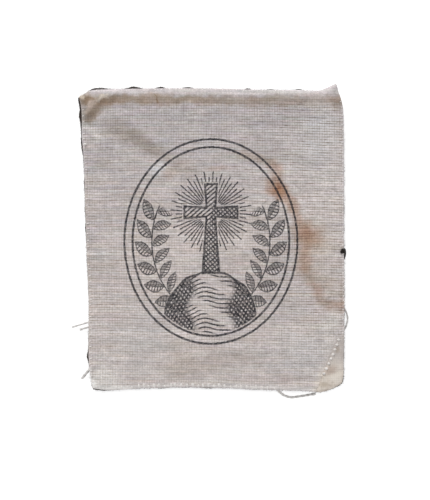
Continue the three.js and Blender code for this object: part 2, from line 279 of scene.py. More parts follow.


# %% [markdown]
# ## Creases, hem and seams
#
# Old cloth keeps the folds it was pressed into. Here a turned hem makes a soft ridge along the
# top, the upper left corner is folded down in a curl, and a shallow pull runs from that corner
# into the cloth. A crease is a line through three places with a height and a width, and its
# profile is a bell, so it fades out at its ends as a real crease does. Simulating this would
# hide the handful of creases that matter among ones that don't, so they are listed one by one.

# %% Height of the creased cloth
CREASES = rows(
    "from via to height width",
    ((-18.4, 27.2), (-22.0, 26.0), (-23.7, 23.2), 0.34, 0.95),
    ((-18.6, 25.4), (-21.0, 24.6), (-22.4, 22.2), -0.1, 1.2),
    ((-24.6, 26.0), (-23.9, 25.2), (-23.8, 24.2), 0.22, 0.45),
    ((-23.6, 20.2), (-22.4, 19.2), (-20.8, 18.9), 0.14, 0.6),
    ((-23.4, 18.2), (-22.2, 17.6), (-20.6, 17.9), -0.08, 0.5),
    ((-19.2, 20.6), (-14.8, 18.6), (-10.2, 14.4), -0.18, 1.3),
    ((-20.8, 17.6), (-16.0, 16.2), (-11.2, 12.6), 0.14, 1.4),
    ((-11.6, 14.0), (-10.6, 13.0), (-9.8, 12.2), 0.08, 0.9),
    ((-22.8, 9.0), (-19.0, 8.2), (-15.5, 8.6), 0.06, 1.1),
    ((-23.2, 2.4), (-20.4, 1.6), (-17.6, 1.9), -0.05, 0.9),
    ((-22.6, -19.0), (-20.6, -18.0), (-18.4, -18.2), 0.1, 0.7),
    ((-22.8, -22.4), (-21.4, -20.8), (-20.6, -19.4), -0.1, 0.45),
    ((-22.6, -23.8), (-21.0, -22.4), (-19.8, -21.2), 0.07, 0.5),
    ((-12.0, -23.6), (-2.0, -24.4), (8.0, -23.4), -0.12, 1.8),
    ((12.0, 21.8), (16.5, 20.6), (21.8, 21.2), -0.08, 1.5),
    ((18.5, 9.4), (20.8, 9.9), (23.2, 9.2), 0.12, 0.6),
    ((15.0, -12.6), (18.6, -14.4), (23.0, -13.9), -0.08, 1.2),
)
HEM = {"ridge_at": 0.75, "ridge": 0.32, "ridge_width": 0.85, "dip_at": 2.6, "dip": -0.06, "dip_width": 1.2}
RIM_WIDTH = 0.9
RIM_DROP = 0.45
EAR = {"at": (22.3, 28.5), "lift": 0.9, "reach": 3.6}


def bell(distance, width):
    """1 on a line, and less on both sides of it."""
    return np.exp(-((distance / width) ** 2))


def ease(share):
    """A share held between 0 and 1, with a soft start and a soft end."""
    share = np.clip(share, 0, 1)
    return share * share * (3 - 2 * share)


def bow(start, middle, end, steps=12):
    """A smooth line that passes through three places."""
    share = np.linspace(0, 1, steps)[:, None]
    start, middle, end = map(np.array, (start, middle, end))
    handle = 2 * middle - (start + end) / 2
    return (1 - share) ** 2 * start + 2 * share * (1 - share) * handle + share**2 * end


def folds(x, y):
    """Height of the creases and the hem, in mm."""
    height = sum(
        row["height"] * bell(distance_to_line(x, y, bow(row["from"], row["via"], row["to"])), row["width"])
        for row in CREASES
    )
    from_top = np.interp(x, *cotton_sides["top"].T) - y
    share = ease((x + 20.5) / 3)
    uneven = 1 + 0.2 * ripple(x, y, 4.0, 3)
    height = height + share * uneven * HEM["ridge"] * bell(from_top - HEM["ridge_at"], HEM["ridge_width"])
    return height + share * HEM["dip"] * bell(from_top - HEM["dip_at"], HEM["dip_width"])


def drape(x, y):
    """Height of the creased cotton over its plain face, in mm, without the weave."""
    ear = np.hypot(x - EAR["at"][0], y - EAR["at"][1])
    return folds(x, y) + EAR["lift"] * ease(1 - ear / EAR["reach"]) + 0.05 * ripple(x, y, 6.0, 5)


def rim_drop(inside, slanting):
    """How far the rounded edge lies under the face. It turns less on the slanting edge."""
    cut_edge = RIM_DROP * (1 - np.sqrt(1 - 0.96 * np.clip(1 - inside / RIM_WIDTH, 0, 1) ** 2))
    soft_edge = 0.08 * (1 - np.sqrt(1 - 0.96 * np.clip(1 - slanting / 0.4, 0, 1) ** 2))
    return np.maximum(cut_edge, soft_edge)


# %% [markdown]
# ## Where the needle went
#
# The edges are whipped: the thread comes up through the face, goes over the edge, round the wool
# and back. Each edge was sewn at its own pace: widely spaced at the top, closely on the right,
# and with fatter stitches at the bottom. The stitches are laid out before the cloth is made,
# because each one pulls a small dimple into it. A stitch is a place on the edge with the way
# outwards, and the thread itself comes later.

# %% Places of the stitches
SEWING = {
    "left": {"pitch": 1.05, "bite": 0.5, "from": 0.05, "to": 0.98, "thread": 1, "reach": -0.1},
    "right": {"pitch": 0.83, "bite": 0.36, "from": 0.06, "to": 0.83, "thread": 1, "reach": -0.1},
    "bottom": {"pitch": 0.94, "bite": 0.66, "from": 0.1, "to": 0.72, "thread": 2.6, "reach": -0.2},
    "top": {"pitch": 1.2, "bite": 0.3, "from": 0.04, "to": 0.92, "thread": 1, "reach": -0.1},
}
OUTWARDS = {"left": (-1, 0), "right": (1, 0), "bottom": (0, -1), "top": (0, 1)}


def sewing_places(side, row):
    """Places and outward ways of the stitches along one side, unevenly spaced."""
    line = cotton_sides[side]
    length = np.linalg.norm(np.diff(line, axis=0), axis=1).sum()
    count = int(length * (row["to"] - row["from"]) / row["pitch"])
    share = np.linspace(row["from"], row["to"], count)
    share = share + dice.normal(0, 0.11 * row["pitch"] / length, count)
    way = along(line, share + 0.004) - along(line, share - 0.004)
    out = np.stack([way[:, 1], -way[:, 0]], -1)
    out *= np.sign(out @ np.array(OUTWARDS[side]))[:, None]
    out /= np.linalg.norm(out, axis=1)[:, None]
    bite = row["bite"] * (1 + 0.14 * dice.standard_normal(count).clip(-2, 2))
    return along(line, share), out, bite


stitches = {side: sewing_places(side, row) for side, row in SEWING.items()}

CORNER_STITCHES = 8
corner_places = bow((22.85, -18.6), (21.6, -21.7), (20.12, -24.8), CORNER_STITCHES)
corner_places = corner_places + dice.normal(0, 0.03, corner_places.shape)
print("stitches:", {side: len(found[0]) for side, found in stitches.items()}, "corner", CORNER_STITCHES)


def stitch_dimples(x, y):
    """How far the stitches pull the cotton down, from 0 to 1."""
    pull = np.zeros(np.shape(x))
    for places, out, bite in stitches.values():
        for place, way, depth in zip(places, out, bite):
            entry = place - way * depth
            near = (np.abs(x - entry[0]) < 1.2) & (np.abs(y - entry[1]) < 1.2)
            far = np.hypot(x[near] - entry[0], y[near] - entry[1])
            pull[near] = np.maximum(pull[near], bell(far, 0.3))
    return pull


# %% [markdown]
# ## Closed cloth
#
# Every layer here is a thin closed shell: a face, a rolled edge, and an inner or under side. The
# cotton also has a turning that lies on the layer below. The face starts as a lattice that is
# larger than the layer. Each of its cells is kept, dropped, or clipped where the outline crosses
# it, so the lattice runs straight to the edge as woven threads do. The rest is the edge loop,
# shrunk ring by ring, and one strip of triangles that zips the last ring to the inner side.

# %% Helpers for closed cloth
def clipped_patch(x, y, inside, extra):
    """The part of a lattice where inside is positive, cut along the line where it is nought.

    x, y, inside and each of extra are arrays of the lattice's rows. Rows run downwards.
    """
    tall, wide = x.shape
    values = np.stack([x, y, inside, *extra], -1).reshape(-1, 3 + len(extra))
    kept = inside.ravel() > 0
    new_points = []
    crossings = {}

    def crossing(one, other):
        key = (min(one, other), max(one, other))
        if key not in crossings:
            share = values[one, 2] / (values[one, 2] - values[other, 2])
            crossings[key] = len(values) + len(new_points)
            new_points.append(values[one] + share * (values[other] - values[one]))
        return crossings[key]

    start = (np.arange(tall - 1)[:, None] * wide + np.arange(wide - 1)).ravel()
    cells = np.stack([start, start + wide, start + wide + 1, start + 1], -1)
    count = kept[cells].sum(1)
    faces = cells[count == 4].tolist()
    for cell in cells[(count > 0) & (count < 4)].tolist():
        polygon = []
        for one, other in zip(cell, cell[1:] + cell[:1]):
            if kept[one]:
                polygon.append(one)
            if kept[one] != kept[other]:
                polygon.append(crossing(one, other))
        if len(polygon) > 2:
            faces.append(polygon)
    values = np.vstack([values, new_points])
    used = np.unique([index for polygon in faces for index in polygon])
    renumber = np.zeros(len(values), int)
    renumber[used] = np.arange(len(used))
    faces = [renumber[polygon].tolist() for polygon in faces]
    following = {}
    for polygon in faces:
        for one, other in zip(polygon, polygon[1:] + polygon[:1]):
            if following.get((other, one)):
                del following[(other, one)]
            else:
                following[(one, other)] = True
    following = {one: other for one, other in following}
    loop = [next(iter(following))]
    while following[loop[-1]] != loop[0]:
        loop.append(following[loop[-1]])
    values = values[used]
    return {"flat": values[:, :2], "extra": values[:, 3:], "faces": faces, "loop": loop}


def zipped(outer, inner, points):
    """Triangles between two loops with different numbers of points, which run the same way."""
    middle = points[outer].mean(0)
    turn = [np.arctan2(*(points[loop] - middle)[:, 1::-1].T) for loop in (outer, inner)]
    nearest = int(np.argmin(np.abs(np.angle(np.exp(1j * (turn[1] - turn[0][0]))))))
    inner = [*inner[nearest:], *inner[:nearest]]

    def lengths(loop):
        path = points[[*loop, loop[0]]]
        length = np.r_[0, np.cumsum(np.linalg.norm(np.diff(path, axis=0), axis=1))]
        return length / length[-1]

    one, two = lengths(outer), lengths(inner)
    i = j = 0
    faces = []
    while i < len(outer) or j < len(inner):
        a, b = outer[i % len(outer)], inner[j % len(inner)]
        if j == len(inner) or (i < len(outer) and one[i + 1] <= two[j + 1]):
            faces.append([a, b, outer[(i + 1) % len(outer)]])
            i += 1
        else:
            faces.append([a, b, inner[(j + 1) % len(inner)]])
            j += 1
    return faces


def closed_cloth(name, face, face_height, rings, inner, inner_height):
    """A closed mesh from a face patch, rings that shrink round its edge, and an inner patch.

    rings rows give inset, height and travel, the way along the cloth from the face's edge, and
    whether the ring is on the inside.
    Returns the object, the places of its corners on the flat cloth, and where its inside starts.
    """
    points = [np.c_[face["flat"], face_height]]
    flat_places = [face["flat"]]
    faces = list(face["faces"])
    inner_from = None
    previous = face["loop"]
    edge = face["flat"][face["loop"]]
    low, high = edge.min(0), edge.max(0)
    middle, half = (low + high) / 2, (high - low) / 2
    for ring in rings:
        count = sum(len(part) for part in points)
        moved = middle + (edge - middle) * (1 - ring["inset"] / half)
        points.append(np.c_[moved, np.broadcast_to(ring["height"], len(edge))])
        flat_places.append(middle + (edge - middle) * (1 + ring["travel"] / half))
        current = list(range(count, count + len(edge)))
        if ring["inner"] and inner_from is None:
            inner_from = len(faces)
        faces += [
            [previous[k], current[k], current[(k + 1) % len(current)], previous[(k + 1) % len(current)]]
            for k in range(len(current))
        ]
        previous = current
    count = sum(len(part) for part in points)
    points.append(np.c_[inner["flat"], inner_height])
    flat_places.append(inner["flat"])
    points, flat_places = np.concatenate(points), np.concatenate(flat_places)
    if inner_from is None:
        inner_from = len(faces)
    faces += zipped(previous, [index + count for index in inner["loop"]], points)
    faces += [[index + count for index in reversed(polygon)] for polygon in inner["faces"]]
    mesh = bpy.data.meshes.new(name)
    mesh.from_pydata(((points + np.array([*HOME, 0])) * MM).tolist(), [], faces)
    mesh.polygons.foreach_set("use_smooth", np.ones(len(faces), bool))
    return in_scene(name, mesh), flat_places, inner_from


def lattice(low, high, step):
    """Rows of places in a rectangle, from the top row downwards, in mm."""
    across = np.arange(low[0], high[0] + step, step)
    down = np.arange(high[1], low[1] - step, -step)
    return np.meshgrid(across, down)


def write_uv(piece, name, corner_values):
    """A UV map from one pair of numbers for each face corner."""
    layer = piece.data.uv_layers.new(name=name)
    layer.data.foreach_set("uv", np.asarray(corner_values, np.float32).ravel())


def write_value(piece, name, values):
    """A number for each of a piece's vertices, which its material can read."""
    padded = np.zeros(len(piece.data.vertices), np.float32)
    padded[: len(values)] = values
    piece.data.attributes.new(name, "FLOAT", "POINT").data.foreach_set("value", padded)


def report(piece):
    """Prints a piece's size and whether its mesh is closed."""
    work = bmesh.new()
    work.from_mesh(piece.data)
    open_edges = sum(not edge.is_manifold for edge in work.edges)
    triangles = sum(len(face.verts) - 2 for face in work.faces)
    volume = work.calc_volume(signed=True) / MM**3
    work.free()
    size = [round(side / MM, 2) for side in piece.dimensions]
    found = f"{triangles} triangles, {open_edges} open edges, {volume:.1f} mm3"
    print(piece.name, size, "mm,", found)


# %% [markdown]
# ## The printed cotton
#
# The front is one piece of cloth with its edges turned under. Its face carries the weave, the
# creases, the rounded rim and the stitches' dimples as real height. The turning lies on the
# wool, or on the lining at the slanting corner, and the inner side is plain because nobody sees
# it. One UV map is laid out for a bake, and another counts threads, so the material can draw
# each thread exactly on the modelled one.

# %% Face of the printed cotton
DIMPLE = 0.12


def inside_cotton(x, y):
    """How far points lie inside the cotton's outline and its slanting edge, in mm."""
    return np.minimum(depth_inside(x, y, cotton_loop), slant_depth(x, y))


numbers = np.meshgrid(
    np.linspace(0, WARP_THREADS, 2 * WARP_THREADS + 1), np.linspace(0, WEFT_THREADS, 2 * WEFT_THREADS + 1)
)
x, y = thread_place(*numbers)
cotton_face = clipped_patch(x, y, inside_cotton(x, y), numbers)

x, y = cotton_face["flat"].T
a, b = cotton_face["extra"].T
inside = depth_inside(x, y, cotton_loop)
low_relief = (0.15 + 0.85 * ease(inside / 0.6)) * (1 - 0.6 * ease((y - 24.6) / 1.6))
cotton_height = COTTON_FACE + drape(x, y) - rim_drop(inside, slant_depth(x, y))
cotton_height = cotton_height - DIMPLE * stitch_dimples(x, y)
cotton_height = cotton_height + (weave_height(a, b) - WEFT["radius"]) * low_relief

# %% Printed cotton as a closed piece
TURNING = 5.0
CLOTH = 0.32
INNER_CELL = 0.95
INNER_INSET = 1.4
COTTON_REST = WOOL_TOP + 0.05
LINING_DIP = 0.35
low, high = cotton_loop.min(0), cotton_loop.max(0)
x, y = lattice(low, high, INNER_CELL)
cotton_inner = clipped_patch(x, y, inside_cotton(x, y) - INNER_INSET, [])
inner_height = COTTON_FACE - CLOTH - 0.2 + 0.6 * drape(*cotton_inner["flat"].T)

edge = cotton_face["flat"][cotton_face["loop"]]
on_lining = 1 - ease(slant_depth(*edge.T) / 0.8)
rest = COTTON_REST + on_lining * (LINING_FACE - LINING_DIP + 0.02 - COTTON_REST)
hung = cotton_height[cotton_face["loop"]] - 0.12
under_face = COTTON_FACE - CLOTH - 0.05
inner_rest = rest + CLOTH
cotton_rings = rows(
    "inset height travel inner",
    (0.0, hung, 0.15, False),
    (0.0, rest + 0.45 * (hung - rest), 0.6, False),
    (0.06, rest + 0.12 * (hung - rest), 0.95, False),
    (0.22, rest, 1.2, False),
    (0.8, rest, 1.8, False),
    (2.6, COTTON_REST, 3.6, False),
    (TURNING, COTTON_REST, 6.0, False),
    (TURNING, COTTON_REST + CLOTH, 6.2, True),
    (1.0, inner_rest, 3.0, True),
    (0.5, inner_rest + 0.4 * (under_face - inner_rest), 2.0, True),
    (0.6, inner_rest + 0.8 * (under_face - inner_rest), 1.5, True),
)
front, flat_places, inner_from = closed_cloth(
    "printed_cotton", cotton_face, cotton_height, cotton_rings, cotton_inner, inner_height
)

# %% Maps of the printed cotton
OUTER_MAP = {"middle": (0.46, 0.5), "size": (0.82, 0.88)}
INNER_MAP = {"middle": (0.955, 0.5), "size": (0.05, 0.8)}
corner_vertex = np.zeros(len(front.data.loops), int)
front.data.loops.foreach_get("vertex_index", corner_vertex)
corner_face = np.repeat(np.arange(len(front.data.polygons)), [len(f.vertices) for f in front.data.polygons])
middle, size = (low + high) / 2, high - low
share = (flat_places[corner_vertex] - middle) / size
beyond = np.maximum(np.abs(share) - 0.5, 0)
squeezed = np.sign(share) * (np.abs(share) - 0.7 * beyond)
outer_uv = OUTER_MAP["middle"] + squeezed * OUTER_MAP["size"]
inner_uv = INNER_MAP["middle"] + share * INNER_MAP["size"]
write_uv(front, "OFBake", np.where((corner_face >= inner_from)[:, None], inner_uv, outer_uv))

thread_counts = (flat_places - np.array(FIRST_THREADS)) / np.array([WARP_PITCH, -np.mean(pitches)])
thread_counts[: len(cotton_face["extra"])] = cotton_face["extra"]
write_uv(front, "threads", thread_counts[corner_vertex])
write_value(front, "fold", folds(*cotton_face["flat"].T))
from_edge = depth_inside(*cotton_face["flat"].T, cotton_loop)
write_value(front, "edge", ease(from_edge / 0.6))
write_value(front, "seam", ease(1 - slant_depth(*cotton_face["flat"].T) / 1.5))
write_value(front, "pulled", bell(from_edge - 0.45, 0.42) * (cotton_face["flat"][:, 1] < -26))
report(front)

# %% [markdown]
# ## The cream lining in the corner
#
# Where the front's corner is turned under, a finer cream cloth shows. It is a thin closed slab
# with its own edges rounded, made on the same outline. It runs on a little way under the front's
# turned edge, so it dips there. Its threads are too fine to model, so its face has only soft
# unevenness, and its weave is in the material.

# %% Cream lining
SEAM = 0.3
TUCKED = 1.0
LINING_BOX = ((16.5, -28.6), (24.6, -11.8))


def lining_inside(x, y, tucked, inset):
    """How far points lie inside the lining, which runs on under the turned edge by tucked mm."""
    return np.minimum(depth_inside(x, y, cotton_loop) - inset, tucked - slant_depth(x, y))


x, y = lattice(*LINING_BOX, 0.22)
lining_face = clipped_patch(x, y, lining_inside(x, y, TUCKED, 0.02), [])
x, y = lattice(*LINING_BOX, 0.6)
lining_inner = clipped_patch(x, y, lining_inside(x, y, TUCKED - 0.5, 0.55), [])
x, y = lining_face["flat"].T
roll = np.clip(1 - depth_inside(x, y, cotton_loop) / 0.5, 0, 1)
lining_height = LINING_FACE + 0.05 - 0.22 * (1 - np.sqrt(1 - 0.96 * roll**2))
lining_height = lining_height + 0.12 * ease(1 + slant_depth(x, y) / 1.6)
lining_height = lining_height - (LINING_DIP + 0.12) * ease((slant_depth(x, y) + 0.04) / 0.3)
lining_height = lining_height + 0.05 * ripple(x, y, 1.6, 41) + 0.04 * ripple(x, y, 0.7, 42) * (1 - roll)
lining_rings = rows(
    "inset height travel inner",
    (0.0, COTTON_REST + 0.5, 0.4, False),
    (0.08, COTTON_REST + 0.1, 0.9, False),
    (0.2, COTTON_REST, 1.2, False),
)
lining, _, _ = closed_cloth(
    "cream_lining", lining_face, lining_height, lining_rings, lining_inner,
    np.full(len(lining_inner["flat"]), COTTON_REST),
)
report(lining)

# %% [markdown]
# ## The wool backing
#
# The backing is a thick fulled wool: its raw edge is soft and lumpy, and it bulges out between
# the stitches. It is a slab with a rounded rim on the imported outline. Its face lies under the
# cotton and its back rests on the table, so the back has only a slight cloth texture that never
# goes below the table. A table of small bulges sets where the dark wool peeps out.

# %% Wool backing
PEEPS = rows(
    "x y out spread",
    (-25.2, 25.1, 0.1, 0.6),
    (-25.0, 22.9, 0.12, 0.9),
    (-24.8, 20.8, 0.1, 0.6),
    (-24.6, 17.7, 0.16, 0.6),
    (-24.5, 16.4, 0.12, 0.6),
    (-24.2, 10.5, 0.1, 0.6),
    (-24.1, 5.4, 0.1, 0.6),
    (-24.0, 1.5, 0.1, 0.5),
    (-23.5, -21.8, 0.2, 0.8),
    (-21.2, -27.6, 0.14, 1.0),
    (-21.4, 28.1, 0.12, 1.4),
    (-15.4, 28.2, 0.18, 0.8),
    (-14.0, 28.2, 0.16, 0.6),
    (-9.8, 28.2, 0.2, 0.8),
    (-5.0, 28.2, 0.18, 0.9),
    (6.1, 27.9, 0.12, 0.3),
    (10.4, 27.9, 0.1, 0.6),
    (15.6, 27.8, 0.16, 0.6),
)
WOOL_CELL = 0.5
wool_low, wool_high = wool_loop.min(0), wool_loop.max(0)


def woolly(x, y, seed):
    """Fine unevenness of fulled wool, in mm."""
    return 0.03 * ripple(x, y, 1.2, seed) + 0.02 * ripple(x, y, 0.6, seed + 1)


def bulge(x, y):
    """How far the raw edge stands out at places on it, in mm."""
    out = 0.04 * ripple(x, y, 1.0, 57) + 0.03 * ripple(x, y, 0.5, 58)
    return out + sum(row["out"] * bell(np.hypot(x - row["x"], y - row["y"]), row["spread"]) for row in PEEPS)


bulged = wool_loop * (1 + bulge(*wool_loop.T) / np.linalg.norm(wool_loop, axis=1))[:, None]
x, y = lattice(wool_low - 0.5, wool_high + 0.5, WOOL_CELL)
wool_face = clipped_patch(x, y, depth_inside(x, y, bulged), [])
wool_back = clipped_patch(x, y, depth_inside(x, y, bulged) - 0.45, [])
wool_edge = depth_inside(*wool_face["flat"].T, bulged)
wool_height = WOOL_TOP - 0.06 + 0.6 * woolly(*wool_face["flat"].T, 51)
wool_height = wool_height - 0.16 * np.clip(1 - wool_edge / 0.5, 0, 1) ** 2
wool_rings = rows(
    "inset height travel inner",
    (-0.03, 0.8 * WOOL_TOP, 0.2, False),
    (-0.05, 0.55 * WOOL_TOP, 0.45, False),
    (-0.03, 0.25 * WOOL_TOP, 0.75, False),
    (0.06, 0.08 * WOOL_TOP, 0.9, False),
    (0.22, 0.0, 1.1, False),
)
wool, _, _ = closed_cloth(
    "wool_backing", wool_face, wool_height, wool_rings, wool_back,
    0.03 + np.abs(woolly(*wool_back["flat"].T, 53)),
)
wool_rim = np.ones(len(wool_edge) + 4 * len(wool_face["loop"]))
wool_rim[: len(wool_edge)] = wool_edge < 0.5
write_value(wool, "rim", wool_rim)
report(wool)

# %% [markdown]
# ## Nodes written as formulas
#
# A procedural material is arithmetic on places, and dozens of Math nodes are hard to read one by
# one. This small class lets the script write that arithmetic as ordinary formulas: each
# operation adds its node to the tree and returns the new wire.

# %% Node helpers
class Wire:
    """A number on a wire of a node tree."""

    def __init__(self, tree, socket):
        self.tree = tree
        self.socket = socket

    def do(self, operation, *others):
        node = self.tree.nodes.new("ShaderNodeMath")
        node.operation = operation
        for socket, value in zip(node.inputs, (self, *others)):
            feed(self.tree, socket, value)
        return Wire(self.tree, node.outputs[0])

    def __add__(self, other):
        return self.do("ADD", other)

    def __sub__(self, other):
        return self.do("SUBTRACT", other)

    def __rsub__(self, other):
        return self.do("MULTIPLY_ADD", -1.0, other)

    def __mul__(self, other):
        return self.do("MULTIPLY", other)

    def __truediv__(self, other):
        return self.do("DIVIDE", other)

    def __mod__(self, other):
        return self.do("FLOORED_MODULO", other)

    def __abs__(self):
        return self.do("ABSOLUTE")

    __radd__ = __add__
    __rmul__ = __mul__


def feed(tree, socket, value):
    """Links a wire or a socket into a socket, or sets the socket's own value."""
    if isinstance(value, Wire):
        value = value.socket
    if isinstance(value, bpy.types.NodeSocket):
        tree.links.new(value, socket)
    else:
        socket.default_value = value


def add_node(tree, kind, inputs=None, **settings):
    """A new node with its settings and its inputs, by name or number."""
    node = tree.nodes.new(kind)
    for name, value in settings.items():
        setattr(node, name, value)
    for name, value in (inputs or {}).items():
        feed(tree, node.inputs[name], value)
    return node


def most(*wires):
    """The greatest of some wires."""
    result = wires[0]
    for wire in wires[1:]:
        result = result.do("MAXIMUM", wire)
    return result


def least(*wires):
    """The least of some wires."""
    result = wires[0]
    for wire in wires[1:]:
        result = result.do("MINIMUM", wire)
    return result


def root_of_squares(x, y):
    return (x * x + y * y).do("SQRT")


def fade(value, start, end, low=0.0, high=1.0, shape="LINEAR"):
    """low where value is at start and high where it is at end, and held beyond them."""
    node = add_node(
        value.tree, "ShaderNodeMapRange", {0: value, 1: start, 2: end, 3: low, 4: high},
        interpolation_type=shape, clamp=True,
    )
    return Wire(value.tree, node.outputs[0])


def vector(tree, x, y, z=0.0):
    return add_node(tree, "ShaderNodeCombineXYZ", {0: x, 1: y, 2: z}).outputs[0]


def vector_maths(tree, operation, *values):
    """The result of an operation on vectors."""
    node = add_node(tree, "ShaderNodeVectorMath", dict(enumerate(values)), operation=operation)
    return node.outputs[0]


def noise(tree, place, scale, detail=2.0, roughness=0.5, colour=False):
    node = add_node(
        tree, "ShaderNodeTexNoise",
        {"Vector": place, "Scale": scale, "Detail": detail, "Roughness": roughness},
    )
    return node.outputs[1] if colour else Wire(tree, node.outputs[0])


def strayed(tree, place, reach, *waves):
    """A place moved sideways by a noise, by up to half of reach in mm."""
    centred = vector_maths(tree, "SUBTRACT", noise(tree, place, *waves, colour=True), (0.5, 0.5, 0.5))
    return vector_maths(tree, "MULTIPLY_ADD", centred, (reach, reach, 0), place)


def mixed(tree, share, one, two, blend="MIX"):
    """One colour turned into another by a share from 0 to 1."""
    node = add_node(tree, "ShaderNodeMix", data_type="RGBA", blend_type=blend, clamp_result=True)
    feed(tree, node.inputs[0], share)
    for socket, value in ((node.inputs[6], one), (node.inputs[7], two)):
        feed(tree, socket, (*value, 1) if isinstance(value, tuple) else value)
    return node.outputs[2]


def split(tree, socket):
    """The x, y and z of a vector, as wires."""
    node = add_node(tree, "ShaderNodeSeparateXYZ", {0: socket})
    return [Wire(tree, out) for out in node.outputs]


def linear(red, green, blue):
    """A colour as a screen shows it, from 0 to 255, as the light that a material reflects."""
    def one(value):
        value /= 255
        return value / 12.92 if value <= 0.04045 else ((value + 0.055) / 1.055) ** 2.4

    return (one(red), one(green), one(blue))


def start_material(name):
    """A material with its Principled shader, and the place in mm from home."""
    material = bpy.data.materials.new(name)
    material.use_nodes = True
    tree = material.node_tree
    shader = tree.nodes["Principled BSDF"]
    place = add_node(tree, "ShaderNodeTexCoord").outputs["Object"]
    in_mm = vector_maths(tree, "MULTIPLY", place, (1 / MM,) * 3)
    return material, tree, shader, vector_maths(tree, "SUBTRACT", in_mm, (*HOME, 0))


def finished(tree, shader, colour, height, strength, **sockets):
    """Sends a colour and a height in mm, as fine relief, into the shader and sets its sockets."""
    relief = add_node(tree, "ShaderNodeBump", {"Strength": strength, "Distance": MM, "Height": height})
    tree.links.new(relief.outputs[0], shader.inputs["Normal"])
    tree.links.new(colour, shader.inputs["Base Color"])
    for name, value in sockets.items():
        shader.inputs[name.replace("_", " ")].default_value = value


# %% [markdown]
# ## The print
#
# The cloth was printed in black like an engraving: fine lines inside a double oval. The drawing
# here is an ornament made for this model, a radiant cross on a hatched mound between two leafy
# sprays. Ink has no thickness, so it belongs in the material. Every stroke is a distance: a
# point is inked where it lies less than half a line's width from the stroke. Repeats, such as
# rays, leaves and hatching, come from taking a place modulo the pitch, so one leaf draws them
# all. The drawing sits in a node group with the place in and the ink out.

# %% Ink drawing
OVAL_MIDDLE = (-0.76, -0.46)
OVALS = [(15.97, 18.89), (14.46, 17.43)]
LINE = 0.4
FINE_LINE = 0.26
SOFT = 0.05


def stroke(distance, width=FINE_LINE):
    """Ink on a line: 1 where the distance is under half the width."""
    return fade(abs(distance), width / 2 + SOFT, width / 2 - SOFT)


def oval_distance(x, y, wide, tall):
    """Distance outwards from an oval with these radii, about right near its line."""
    reach = root_of_squares(x / wide, y / tall)
    slope = root_of_squares(x / wide**2, y / tall**2) / reach
    return (reach - 1.0) / slope


def hatching(x, y, pitch, turn, width=FINE_LINE):
    """Parallel strokes that lean by turn degrees."""
    angle = math.radians(turn)
    across = x * math.sin(angle) - y * math.cos(angle)
    offset = ((across / pitch) % 1.0 - 0.5) * pitch
    return stroke(offset, width)


def cross_distance(x, y, middle):
    """Distance outwards from a plain cross with flared arms."""
    flare = 0.75 + 0.07 * abs(y - middle)
    upright = most(abs(x) - flare, abs(y - (middle - 3.0)) - 8.2)
    flare = 0.75 + 0.07 * abs(x)
    arms = most(abs(y - middle) - flare, abs(x) - 4.9)
    return least(upright, arms)


RAYS = 56


def draw_cross_and_rays(x, y):
    middle = 5.4
    cross = cross_distance(x, y, middle)
    inside = fade(cross, 0.0, -0.1)
    dark_side = fade(x + (y - middle) * -0.25, 0.0, 0.15)
    shaded = inside * most(hatching(x, y, 0.62, 40, 0.3), dark_side * hatching(x, y, 0.55, -50, 0.3))
    edge = stroke(cross, LINE)
    rise = y - middle
    reach = root_of_squares(x, rise)
    turns = rise.do("ARCTAN2", x) * (RAYS / (2 * math.pi))
    ray = turns.do("FLOOR")
    sideways = abs(turns % 1.0 - 0.5) * (2 * math.pi / RAYS) * reach
    end = 6.5 + (ray % 2.0) * 1.0
    rays = stroke(sideways, 0.24) * fade(reach, 2.2, 2.4) * fade(reach - end, 0.1, 0.0)
    rays = rays * fade(cross, 0.35, 0.45) * fade(y, -4.2, -4.0)
    return most(shaded, edge, rays)


def mound_distance(x, y):
    """Distance outwards from the mound's uneven outline."""
    hill = oval_distance(x, y + 14.2, 8.4, 8.6)
    return hill + (x * 1.7).do("SINE") * 0.12


def draw_mound(x, y):
    edge = mound_distance(x, y)
    inside = fade(edge, 0.0, -0.1)
    slopes = fade(abs(x + (y * 0.9).do("SINE") * 0.7), 3.0, 4.2)
    strata = y + x * x * 0.045 + (x * 1.1).do("SINE") * 0.25
    contour = stroke(((strata / 0.82) % 1.0 - 0.5) * 0.82, 0.28)
    contour = contour * fade((x * 0.7 + y * 1.1).do("SINE"), -0.7, -0.3)
    crossing = hatching(x, y, 0.58, 62, 0.34) * slopes
    dark = hatching(x, y, 0.62, -48, 0.36) * slopes
    return most(stroke(edge, LINE), inside * most(contour, crossing, dark))


def draw_sprays(x, y):
    """Two sprays of leaves that rise from the foot of the oval, alike on both sides."""
    wide, tall, cell = 10.9, 13.4, 2.9
    leaf_lean, leaf_middle, leaf_half, leaf_wide = math.radians(54), 2.0, 1.85, 0.84
    side = abs(x)
    stem = oval_distance(side, y, wide, tall)
    turn = (y / tall).do("ARCTAN2", side / wide)
    steps = turn * (12.1 / cell) + 20.0
    present = fade(turn, -1.52, -1.48) * fade(turn, 0.55, 0.5)
    leaves = []
    for facing, shift in ((1, 0.0), (-1, 0.5)):
        beside = stem * facing
        ahead = ((steps + shift) % 1.0) * cell - 0.6
        length = ahead * math.cos(leaf_lean) + beside * math.sin(leaf_lean)
        width = beside * math.cos(leaf_lean) - ahead * math.sin(leaf_lean)
        share = (length - leaf_middle) / leaf_half
        leaf = abs(width) - leaf_wide * (1.0 - share * share)
        inside = fade(leaf, 0.0, -0.06) * fade(beside, 0.05, 0.12)
        rib = stroke(width, 0.16)
        hatch = most(hatching(length, width, 0.48, 70, 0.2), fade(width, 0.05, 0.0) * 0.6)
        rim = stroke(leaf, 0.2) * fade(beside, 0.05, 0.12) * fade(abs(share), 1.05, 1.0)
        leaves.append(most(rim, inside * most(rib, hatch)))
    return present * most(stroke(stem, 0.26), *leaves)


